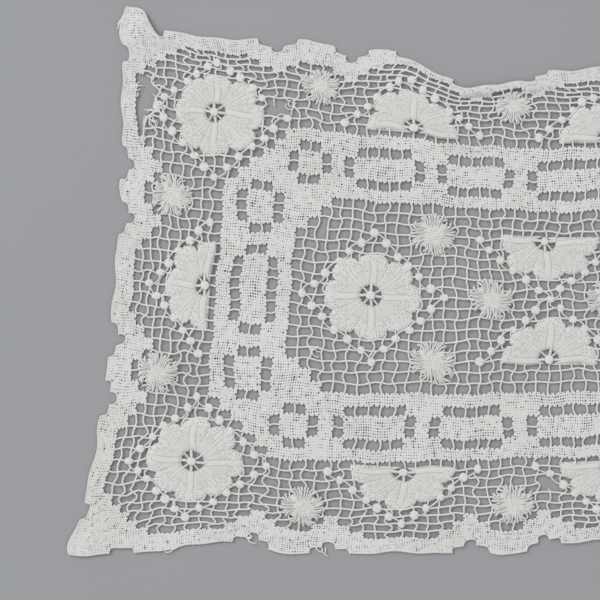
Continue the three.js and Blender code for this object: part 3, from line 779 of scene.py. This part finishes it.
def pinpricks(place, weave, share):
    """Pinholes between the threads of a close weave, at a share of the places where they may be, whose
    darkness is painted shade.
    """
    column, row, loose = weave.parts()
    from_column = column - column.through("FLOOR") - 0.5
    from_row = row - row.through("FLOOR") - 0.5
    from_prick = from_column * from_column * PRICK_WIDE + from_row * from_row * PRICK_LONG
    cell = place.node("ShaderNodeVectorMath", {"operation": "FLOOR"}, {0: weave})
    picked = place.node("ShaderNodeTexWhiteNoise", {"noise_dimensions": "3D"}, {"Vector": cell})
    prick = from_prick.between(*PRICK_EDGE) * loose * (picked > 1 - share)
    return prick, 0.5 ** 2 - from_row * from_row


def woven_petals(place, colour, bump):
    """Fine grooves beside the ribs and along the spokes, and pinholes in the outer weaving, each sunk
    in the bump and darkened with painted shade.
    """
    aside, out, from_rib = place.kept("petal").parts()
    inner = out.between(*LINE_STOPS) * out.between(*LINE_STARTS)
    grooves = (from_rib - RIB_HALF - LINE_AWAY).size().between(*LINE_EDGE) * inner
    clear = from_rib.between(RIB_HALF, RIB_HALF + SPOKE_CLEAR)
    for spoke in SPOKE_PLACES:
        reach = out.between(*SPOKE_STOPS) if spoke < 1 else 1
        line = (aside - spoke).size().between(*SPOKE_EDGE)
        grooves = grooves + line * clear * reach * SPOKE_SHARE
    prick, rows = pinpricks(place, place.kept("weave"), PRICK_SHARE)
    # Painted shade along the fine lines
    colour = (grooves.sum("MINIMUM", grooves, 1) * LINE_SHADE_DARK).mixed(colour, LINE_SHADE_COLOUR)
    # Painted shade in the pinholes
    colour = (prick * PAINTED_PRICK_SHADE).mixed(colour, PINHOLE_SHADE_COLOUR)
    rows = rows * (ROW_HIGH - inner * ROW_LOWER)
    return colour, bump * WOVEN_FIBRE - prick - grooves * LINE_DEEP + rows


flower_cotton = cotton("flower_cotton", FLOWER_WHITE_SHADED, FLOWER_AGED_SHADED, woven_petals)


def edged(rows):
    """Rows with the first and the last of them again, for the upright rims."""
    return np.concatenate([rows[:1], rows, rows[-1:]])


def grid_faces(grid):
    """Faces of four corners between the rows of a grid of point numbers."""
    return np.stack([grid[:-1, :-1], grid[1:, :-1], grid[1:, 1:], grid[:-1, 1:]], -1).reshape(-1, 4)


def flower_shape(along, across, faces, chance):
    """Chart places, heights, weave, petal places and faces of a flower, whole or half."""
    whole = faces == ALL_ROUND
    turn = np.arange(PETALS * COLUMNS_A_PETAL)
    behind = np.zeros(len(turn))
    if not whole:
        last = PETALS * COLUMNS_A_PETAL // 2
        turn = np.concatenate([[0, 0], np.arange(last + 1), [last, last]])
        behind = np.concatenate([[1, 0.5], np.zeros(last + 1), [0.5, 1]])
    columns = len(turn)
    petal_at = turn / COLUMNS_A_PETAL
    petal = np.floor(petal_at + 0.5)
    aside = abs(petal_at - petal) * 2
    angle = petal_at * 2 * math.pi / PETALS
    to_and_fro = np.where(turn % 2, -1, 1)
    uneven = chance.normal(0, PETAL_STRAY, PETALS)[petal.astype(int) % PETALS]
    tip = PETAL_CLEFT + (PETAL_TIP - PETAL_CLEFT + uneven) * np.sqrt(1 - aside ** 2)
    tip = tip + TOOTH * to_and_fro
    eye = EYE + (RIM_ENDS_AT - EYE) * behind
    out = np.linspace(0, 1, FLOWER_ROWS)[:, None]
    radius = eye + EYE_STRAY * chance.normal(size=columns).clip(-1, 1) + (tip - eye) * out
    from_rib = np.hypot(radius * np.sin(aside * math.pi / PETALS), behind * HALF_FLOWER_RIM)
    from_rib = from_rib * np.where(petal % 2, SLANT_RIB, 1)
    rib_ends = ramp(out, *RIB_STARTS) * ramp(out, *RIB_STOPS)
    rib = rib_ends * np.clip(1 - (from_rib / RIB_HALF) ** 2, 0, 1) ** RIB_ROUND
    beside_rib = rib_ends * np.exp(-((from_rib - RIB_HALF - GROOVE_AWAY) / GROOVE_HALF) ** 2)
    cleft = CLEFT_INNER + (CLEFT_OUTER - CLEFT_INNER) * out
    cleft = cleft * np.exp(-((1 - aside) / CLEFT_HALF) ** 2)
    strand = STRAND * to_and_fro * out * (1 - rib)
    relief = RIB_RISE * rib - GROOVE * beside_rib - cleft + strand
    slope = np.sqrt(ramp(out, *EYE_SLOPE) * ramp(out, *RIM_SLOPE) * (1 - behind ** 2))
    height = np.maximum(FLOWER_RIM + slope * (FLOWER_TOP - FLOWER_RIM + relief), FLOWER_LEAST)
    radii, heights = edged(radius), edged(height)
    heights[[0, -1]] = FLOWER_LOW
    shares = edged(out) + 0 * radii
    loose = ramp(shares, *LOOSE_STARTS) * (1 - edged(rib))
    warps = np.arange(columns) / 2 + FIRST_WARP + 0 * radii
    weave = np.stack([warps, radii * WEFTS_A_MESH, loose], -1)
    own = np.stack([aside + 0 * radii, shares, edged(from_rib)], -1)
    spun = faces * math.pi / 2 + chance.normal(0, FLOWER_STRAY)
    x, y = radii * np.cos(angle), radii * np.sin(angle) - behind * HALF_FLOWER_RIM
    places = np.stack([
        along + x * math.cos(spun) - y * math.sin(spun),
        across + x * math.sin(spun) + y * math.cos(spun),
    ], -1)
    index = np.arange(radii.size).reshape(radii.shape)
    ring = np.concatenate([index, index[:, :1]], 1) if whole else index
    quads = grid_faces(np.concatenate([ring, ring[:1]]))
    sides = np.zeros((0, len(index)), int) if whole else np.stack([index[::-1, 0], index[:, -1]])
    by_point = [values.reshape(-1, values.shape[-1]) for values in (places, weave, own)]
    return by_point[0], heights.ravel(), *by_point[1:], quads, sides


def keep(mesh, name, values):
    """A vector kept with every point of a mesh."""
    kept = mesh.attributes.new(name, "FLOAT_VECTOR", "POINT")
    kept.data.foreach_set("vector", values.astype(np.float32).ravel())


chance = np.random.default_rng(FLOWER_CHANCE)
shapes = [flower_shape(*flower, chance) for flower in flowers]
places, heights, weaves, petals = [np.concatenate([shape[i] for shape in shapes]) for i in range(4)]
starts = np.cumsum([0] + [len(shape[0]) for shape in shapes])
quads, sides = [
    np.concatenate([shape[i] + start for shape, start in zip(shapes, starts)]) for i in (4, 5)]
flower_piece = plain_piece("flowers", places, heights, [quads, sides], flower_cotton)
keep(flower_piece.data, "weave", weaves)
keep(flower_piece.data, "petal", petals)
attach(flower_piece, "root")
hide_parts("lace_runner")

# Rosettes
# Four meshes square, each is a round pad darned close in the middle, with a row of loops to every
# side. The loops are worked over the bar there in two bundles, with the net's own thread between.
LOOPS_A_BUNDLE, LOOP_RADIUS, LOOP_SIDES, LOOP_CHANCE = 4, 0.74, 3, 31
LOOP_REACH, REACH_ROUNDED, TIP_TURN, STARTS_INSIDE = 1.9, 0.36, 0.1, (0.25, 0.75)
FOOT_FIRST, FOOT_SPREAD, TIP_FIRST, TIP_SPREAD = 0.05, 0.76, 0.04, 1.26
BUNDLE_LEAN, TIP_STRAY, REACH_STRAY, LINE_STRAY, RISE_STRAY = 0.08, 0.06, 0.05, 0.025, 0.06
# From under the pad to the tip of a loop: the share of its lean, its height and its thickness
LOOP_LEANS, LOOP_HEIGHTS = np.array([(-0.35, 0, 0.5, 0.95, 1), (1.4, 1.55, 1.4, 1.2, 0.9)])
LOOP_SWELL, LOOP_UNEVEN = np.array([0.7, 0.95, 1.05, 1.1, 0.85]), (0.75, 1.2)
# The same cotton as the net's, toned darker to offset the light that this part catches: painted shade
ROSETTE_WHITE_SHADED, ROSETTE_AGED_SHADED = (0.64, 0.639, 0.625), (0.62, 0.612, 0.588)
PAD_RADIUS, PAD_RINGS = 1.36, [(1, 0.35), (0.95, 1.0), (0.8, 1.35), (0.4, 1.4)]
PAD_SPOKES, PAD_SQUARE, PAD_LOOSE, PAD_PRICK_SHADE, PAD_MIDDLE, ROUNDED = 16, 3, 0.75, 0.65, 1.3, 0.75


def round_shares(along, across):
    """A rosette's reach along and across, evened out where the net lies out of square."""
    there = [pulled_place(along + i, across + j) for i, j in ((-1, 0), (1, 0), (0, -1), (0, 1))]
    sizes = np.linalg.norm([there[1] - there[0], there[3] - there[2]], axis=1)
    return 1 + ROUNDED * (sizes.mean() / sizes - 1)


def joined(count, points):
    """Pairs of places that join the points of each of a count of threads."""
    number = np.arange(count * points).reshape(count, points)
    return np.stack([number[:, :-1], number[:, 1:]], -1).reshape(-1, 2)


chance = np.random.default_rng(LOOP_CHANCE)
loop_places, loop_heights, loop_swell = [], [], []
for at_along, at_across in rosettes:
    wider, taller = round_shares(at_along, at_across)
    for side, bundle in [(side, bundle) for side in range(4) for bundle in (-1, 1)]:
        turn = side * math.pi / 2
        lean = chance.normal(0, BUNDLE_LEAN)
        for share in (np.arange(LOOPS_A_BUNDLE) + 0.5) / LOOPS_A_BUNDLE:
            foot = bundle * (FOOT_FIRST + FOOT_SPREAD * share)
            tip = bundle * (TIP_FIRST + TIP_SPREAD * share) + lean + chance.normal(0, TIP_STRAY)
            reach = LOOP_REACH - REACH_ROUNDED * share ** 2 + chance.normal(0, REACH_STRAY)
            rim = PAD_RADIUS * (1 - abs(foot / PAD_RADIUS) ** PAD_SQUARE) ** (1 / PAD_SQUARE)
            inside_pad = rim - chance.uniform(*STARTS_INSIDE)
            out = np.array([inside_pad, rim, (rim + reach) / 2, reach - TIP_TURN, reach])
            over = foot + (tip - foot) * LOOP_LEANS + chance.normal(0, LINE_STRAY, len(out))
            along = at_along - wider * (over * math.cos(turn) + out * math.sin(turn))
            across = at_across + taller * (out * math.cos(turn) - over * math.sin(turn))
            loop_places.append(np.stack([along, across], -1))
            loop_heights.append(LOOP_HEIGHTS + chance.normal(0, RISE_STRAY))
            loop_swell.append(LOOP_SWELL * chance.uniform(*LOOP_UNEVEN))

loop_cotton = cotton("loop_cotton", ROSETTE_WHITE_SHADED, ROSETTE_AGED_SHADED)
loop_pairs = joined(len(loop_places), len(LOOP_SWELL))
loops_piece = drawn_threads(
    "rosette_loops", np.concatenate(loop_places), np.concatenate(loop_heights),
    np.concatenate(loop_swell), loop_pairs, LOOP_RADIUS, LOOP_SIDES, loop_cotton)


def woven_pad(place, colour, bump):
    """The close darning of a pad, with pinholes that dip in the bump and are darkened with painted
    shade.
    """
    prick, rows = pinpricks(place, place.kept("weave"), PAD_LOOSE)
    # The pinholes darken the pad's colour with painted shade
    return (prick * PAD_PRICK_SHADE).mixed(colour, PINHOLE_SHADE_COLOUR), bump * WOVEN_FIBRE - prick + rows


spin = np.arange(PAD_SPOKES) / PAD_SPOKES * 2 * math.pi
across_spin, along_spin = np.sin(spin), np.cos(spin)
squared = abs(along_spin) ** PAD_SQUARE + abs(across_spin) ** PAD_SQUARE
rim = PAD_RADIUS / squared ** (1 / PAD_SQUARE)
out, high = [part[:, None] for part in np.array(PAD_RINGS).T]
pad = np.stack([rim * out * along_spin, rim * out * across_spin, high + 0 * spin], -1).reshape(-1, 3)
pad_index = np.arange(len(pad)).reshape(-1, PAD_SPOKES)
pad_ring = np.concatenate([pad_index, pad_index[:, :1]], 1)
pad_faces = [grid_faces(pad_ring.T), np.stack([pad_index[-1], pad_index[0, ::-1]])]
pad_starts = np.arange(len(rosettes))[:, None, None] * len(pad)
pad_faces = [(group + pad_starts).reshape(-1, group.shape[1]) for group in pad_faces]
pads = np.concatenate([pad * (*round_shares(*rosette), 1) + (*rosette, 0) for rosette in rosettes])
pad_cotton = cotton("pad_cotton", ROSETTE_WHITE_SHADED, ROSETTE_AGED_SHADED, woven_pad)
pads_piece = plain_piece("rosette_pads", pads, pads[:, 2], pad_faces, pad_cotton)
in_middle = np.clip(PAD_MIDDLE * (1 - np.hypot(pad[:, 0], pad[:, 1]) / PAD_RADIUS), 0, 1)
pad_threads = pads[:, :2] * THREADS_A_MESH[::-1]
pad_weave = np.column_stack([pad_threads, np.tile(in_middle, len(rosettes))])
keep(pads_piece.data, "weave", pad_weave)
for piece in loops_piece, pads_piece:
    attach(piece, "root")
    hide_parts("lace_runner")

# Wheels
# Small wheels are woven round a knot of the net, in a diamond about each flower and in its eye.
# The thread passes from one wheel to the next slantwise over the open mesh.
DIAMOND, DIAMOND_CORNERS = 6, [(0, 1), (1, 0), (0, -1), (-1, 0)]
WHEEL_RADIUS, WHEEL_HALF_HEIGHT, WHEEL_UP, WHEEL_SEGMENTS, WHEEL_RINGS = 2.6, 0.32, 1.1, 12, 4
WHEEL_UNEVEN, EYE_WHEEL, EYE_UP, WHEEL_CHANCE = (0.82, 1.12), 1.02, 1.9, 41
LINK_RADIUS, LINK_SIDES, LINK_POINTS, LINK_BOW = 0.52, 3, 4, (0.08, 0.34)
SPOKE_SWELL, SPOKE_UP, SPOKE_REACH = (1.75, 1.1), (1.5, 0.95), (0.25, 1)
SPOKE_STRAY, SPOKE_BEHIND = 0.12, 0.3
WINDINGS, CROSSED_BY, CROSSING_WAVE = 7800, 4, 1.2
# Where the painted shade between the windings starts and is full, how dark it is, and its colour
WINDING_EDGE, WINDING_SHADE_DARK, WINDING_SHADE_COLOUR = (0.35, 0.0), 0.22, (0.3, 0.28, 0.24, 1)
WHEEL_FIBRE, WINDING_HIGH = 0.4, 0.7
# The same cotton as the net's, toned darker to offset the light that this part catches: painted shade
WHEEL_WHITE_SHADED, WHEEL_AGED_SHADED = (0.68, 0.679, 0.665), (0.66, 0.652, 0.628)


def wheel_tree():
    """Nodes that set a low round wheel on each point and keep its own places for the weave."""
    inputs = {"Knots": "Geometry", "Radius": "Float", "Flatness": "Vector", "Thread": "Material"}
    tree, given, made, nodes = new_tree("wheels", inputs, "Wheels", [
        "MeshUVSphere", "InputPosition", "StoreNamedAttribute", "Transform", "InputNamedAttribute",
        "InstanceOnPoints", "RealizeInstances", "SetShadeSmooth", "SetMaterial",
    ])
    ball, position, own, flat, size, wheel, real, smooth, finish = nodes
    ball.inputs["Segments"].default_value = WHEEL_SEGMENTS
    ball.inputs["Rings"].default_value = WHEEL_RINGS
    own.data_type = "FLOAT_VECTOR"
    own.inputs["Name"].default_value = "wheel"
    size.data_type = "FLOAT_VECTOR"
    size.inputs["Name"].default_value = "size"
    for source, target in [
        (given["Radius"], ball.inputs["Radius"]),
        (ball.outputs["Mesh"], own.inputs["Geometry"]),
        (position.outputs["Position"], own.inputs["Value"]),
        (own.outputs["Geometry"], flat.inputs["Geometry"]),
        (given["Flatness"], flat.inputs["Scale"]),
        (given["Knots"], wheel.inputs["Points"]),
        (flat.outputs["Geometry"], wheel.inputs["Instance"]),
        (size.outputs["Attribute"], wheel.inputs["Scale"]),
        (wheel.outputs["Instances"], real.inputs["Geometry"]),
        (real.outputs["Geometry"], smooth.inputs["Geometry"]),
        (smooth.outputs["Geometry"], finish.inputs["Geometry"]),
        (given["Thread"], finish.inputs["Material"]),
        (finish.outputs["Geometry"], made),
    ]:
        tree.links.new(source, target)
    return tree


def wheel_weave(place, colour, bump):
    """Rings of thread round a wheel's middle, crossed by its spokes, with painted shade in the hollows
    between the rings.
    """
    own = place.kept("wheel")
    out = place.node("ShaderNodeVectorMath", {"operation": "LENGTH"}, {0: own}, out="Value")
    x, y, _ = own.parts()
    turn = x.sum("ARCTAN2", y, x) * CROSSED_BY
    waves = out * WINDINGS + turn.through("SINE") * CROSSING_WAVE
    rings = waves.through("SINE") * 0.5 + 0.5
    # Painted shade in the hollows between the windings
    colour = (rings.between(*WINDING_EDGE) * WINDING_SHADE_DARK).mixed(colour, WINDING_SHADE_COLOUR)
    return colour, bump * WHEEL_FIBRE + rings * WINDING_HIGH


diamond = []
for one, other in zip(DIAMOND_CORNERS, DIAMOND_CORNERS[1:] + DIAMOND_CORNERS[:1]):
    diamond += [np.array(one) * (DIAMOND - i) + np.array(other) * i for i in range(DIAMOND)]
wheel_knots, links = {}, []
for along, across, faces in flowers:
    knots = []
    for out in diamond:
        knot = (int(along + out[0]), int(across + out[1]))
        corner = (knot[0] + RUNNER_ALONG, knot[1] + RUNNER_ACROSS)
        free = in_front(faces, *out) >= 0 and open_round_knot[corner] == 4 and not torn(*knot)
        if free:
            wheel_knots[knot] = knot_places[corner]
        knots.append(knot if free else None)
    links += [ends for ends in zip(knots, knots[1:] + knots[:1]) if None not in ends]

wheel_cotton = cotton("wheel_cotton", WHEEL_WHITE_SHADED, WHEEL_AGED_SHADED, wheel_weave)
chance = np.random.default_rng(WHEEL_CHANCE)
wheel_places = np.array(list(wheel_knots.values()) + [flower[:2] for flower in flowers])
wheel_heights = np.repeat([WHEEL_UP, EYE_UP], [len(wheel_knots), len(flowers)])
wheel_sizes = chance.uniform(*WHEEL_UNEVEN, (len(wheel_places), 3)) * (1, 1, 0) + (0, 0, 1)
wheel_sizes[len(wheel_knots):, :2] *= EYE_WHEEL
knots_mesh = bpy.data.meshes.new("wheels")
knots_mesh.vertices.add(len(wheel_places))
wheel_points = laid(wheel_places, wheel_heights)
knots_mesh.vertices.foreach_set("co", wheel_points.astype(np.float32).ravel())
keep(knots_mesh, "size", wheel_sizes)
flatness = (1, 1, WHEEL_HALF_HEIGHT / WHEEL_RADIUS)
wheels_piece = grown("wheels", knots_mesh, wheel_tree(), {
    "Radius": WHEEL_RADIUS * MILLIMETRE, "Flatness": flatness, "Thread": wheel_cotton})

shares = np.linspace(0, 1, LINK_POINTS)[:, None]
spoke_shares = np.linspace(*SPOKE_REACH, LINK_POINTS)[:, None]
link_places, spoke_swell = [], []
for first, second in links:
    start, stop = wheel_knots[first], wheel_knots[second]
    aside = (stop - start)[::-1] * (1, -1) * chance.uniform(*LINK_BOW) * chance.choice((-1, 1))
    link_places.append(start + (stop - start) * shares + aside * np.sin(math.pi * shares))
for along, across, faces in flowers:
    for spoke in range(PETALS):
        angle = (spoke + chance.normal(0, SPOKE_STRAY)) * 2 * math.pi / PETALS
        out = np.array([math.cos(angle), math.sin(angle)])
        if in_front(faces, *out) > -SPOKE_BEHIND:
            link_places.append((along, across) + spoke_shares * out)
            spoke_swell.append(SPOKE_SWELL[spoke % 2])
link_swell = np.repeat([1] * len(links) + spoke_swell, LINK_POINTS)
spoke_heights = np.tile(np.linspace(*SPOKE_UP, LINK_POINTS), len(spoke_swell))
link_heights = np.concatenate([np.full(len(links) * LINK_POINTS, WHEEL_UP), spoke_heights])
link_pairs = joined(len(link_places), LINK_POINTS)
links_piece = drawn_threads(
    "wheel_threads", np.concatenate(link_places), link_heights, link_swell, link_pairs,
    LINK_RADIUS, LINK_SIDES, wheel_cotton)
for piece in wheels_piece, links_piece:
    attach(piece, "root")
    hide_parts("lace_runner")

# Broken ends
# Where the net has torn, its threads end in the hole and curl. A few more have worked loose from
# the hem and the field. They are the same cotton, with nothing to hold them.
END_RADIUS, END_SIDES, END_POINTS, END_LENGTH, ENDS_LEFT = 0.48, 4, 8, 0.9, 0.55
END_CURL, MOST_CURL, END_RISE, END_TAPER, END_STRAY = 3.6, 3.8, 0.5, 0.6, 0.3
END_UNEVEN, FRAY_UNEVEN, FRAY_APART, FRAY_FAN, END_CHANCE = (0.4, 1.3), (0.6, 1.3), 0.15, 0.5, 51
FRAYS = [  # place along, across, way that the ends leave in degrees, how many, length in meshes
    (-69.2, 24.7, 175, 6, 1.0),
    (-60.5, -25.9, -80, 3, 0.9),
    (-54, -24.9, -60, 3, 0.8),
    (-48, -24.9, -100, 3, 0.9),
    (-49.5, -5, 200, 4, 1.0),
    (-66.9, 17.4, 50, 3, 1.3),
    (-66.9, 17.1, -40, 2, 1.2),
    (-65, 14.4, 70, 4, 1.3),
    (-64.8, 15.3, 110, 5, 1.4),
    (-64.7, 16.2, 60, 4, 1.2),
    (-65, 18.8, 200, 2, 1.1),
    (-52, 17.6, 250, 4, 1.2),
]

chance = np.random.default_rng(END_CHANCE)
loose_ends = []
for along, across in np.argwhere(open_round_knot == 4) - (RUNNER_ALONG, RUNNER_ACROSS):
    for quarter in range(4):
        leaves = quarter * math.pi / 2
        way = np.round([math.cos(leaves), math.sin(leaves)])
        left = torn(along + way[0] / 2, across + way[1] / 2) and not torn(along, across)
        if left and chance.random() < ENDS_LEFT:
            start = knot_places[along + RUNNER_ALONG, across + RUNNER_ACROSS]
            loose_ends.append((start, leaves, END_LENGTH * chance.uniform(*END_UNEVEN)))
for along, across, way, count, length in FRAYS:
    for _ in range(count):
        start = (along, across) + chance.normal(0, FRAY_APART, 2)
        leaves = math.radians(way) + chance.normal(0, FRAY_FAN)
        loose_ends.append((start, leaves, length * chance.uniform(*FRAY_UNEVEN)))
end_places, end_heights = [], []
for start, leaves, length in loose_ends:
    share = np.linspace(0, 1, END_POINTS)
    way = leaves + chance.normal(0, END_STRAY)
    turn = way + share * np.clip(chance.normal(0, END_CURL) * length, -MOST_CURL, MOST_CURL)
    steps = np.stack([np.cos(turn), np.sin(turn)], -1) * length / (END_POINTS - 1)
    end_places.append(start + np.cumsum(steps, 0) - steps[0])
    end_heights.append(NET_HEIGHT + chance.uniform(0, END_RISE) * share)
end_swell = np.tile(np.linspace(1, END_TAPER, END_POINTS), len(loose_ends))
end_pairs = joined(len(loose_ends), END_POINTS)
ends_piece = drawn_threads(
    "broken_ends", np.concatenate(end_places), np.concatenate(end_heights), end_swell, end_pairs,
    END_RADIUS, END_SIDES, net_cotton)
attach(ends_piece, "root")
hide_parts("lace_runner")

# Stage
# A plain pale table top, soft light from large lamps, and the camera straight above.
FLOOR_DROP, FLOOR_RADIUS, FLOOR_CORNERS = 0.2, 9, 64
TABLE_GRAIN, TABLE_ROUGH, TABLE_ROUGHER = (9, 3), 0.75, 0.15
TABLE_PAINT = [(0.285, 0.293, 0.305, 1), (0.305, 0.313, 0.325, 1)]
SKY_COLOUR, SKY_STRENGTH = (1, 1, 1, 1), 0.48
LAMPS = [  # name, place from the middle of the view and width in metres, power
    ("key", (-2, 1.6, 2.6), 2.3, 92),
    ("fill", (1.2, -0.9, 2), 2.4, 14),
]
VIEW_MIDDLE, VIEW_WIDTH = (-336.7, 0), 332.76  # millimetres from the chart's middle
LENS, SENSOR = 100, 36

floor_mesh = bpy.data.meshes.new("table_top")
floor_turns = np.arange(FLOOR_CORNERS) * 2 * math.pi / FLOOR_CORNERS
floor_rim = [
    (FLOOR_RADIUS * math.cos(turn), FLOOR_RADIUS * math.sin(turn), -FLOOR_DROP * MILLIMETRE)
    for turn in floor_turns]
floor_mesh.from_pydata(floor_rim, [], [range(FLOOR_CORNERS)])
floor = bpy.data.objects.new("table_top", floor_mesh)
bpy.context.scene.collection.objects.link(floor)
table = bpy.data.materials.new("table_paint")
table.use_nodes = True
table_nodes = table.node_tree.nodes
table_place = Shade(table.node_tree, table_nodes.new("ShaderNodeTexCoord").outputs["Object"])
grain = table_place.noise(*TABLE_GRAIN)
for part, socket in [
    (grain.mixed(*TABLE_PAINT), "Base Color"),
    (TABLE_ROUGH + grain * TABLE_ROUGHER, "Roughness"),
]:
    table.node_tree.links.new(part.socket, table_nodes["Principled BSDF"].inputs[socket])
floor_mesh.materials.append(table)

sky = bpy.data.worlds.new("studio")
sky.use_nodes = True
background = sky.node_tree.nodes["Background"].inputs
background["Color"].default_value = SKY_COLOUR
background["Strength"].default_value = SKY_STRENGTH
bpy.context.scene.world = sky
middle = (np.array(VIEW_MIDDLE) - chart_middle) * MILLIMETRE
for name, place, width, power in LAMPS:
    lamp = bpy.data.lights.new(name, "AREA")
    lamp.size = width
    lamp.energy = power
    holder = bpy.data.objects.new(name, lamp)
    bpy.context.scene.collection.objects.link(holder)
    holder.location = (middle[0] + place[0], middle[1] + place[1], place[2])
    tilt = math.atan2(math.hypot(place[0], place[1]), place[2])
    holder.rotation_euler = (tilt, 0, math.atan2(place[1], place[0]) + math.pi / 2)

lens = bpy.data.cameras.new("camera")
lens.lens = LENS
lens.sensor_width = SENSOR
camera = bpy.data.objects.new("camera", lens)
bpy.context.scene.collection.objects.link(camera)
camera.location = (middle[0], middle[1], VIEW_WIDTH * MILLIMETRE * LENS / SENSOR)
bpy.context.scene.camera = camera
bpy.context.scene.view_settings.view_transform = "Standard"
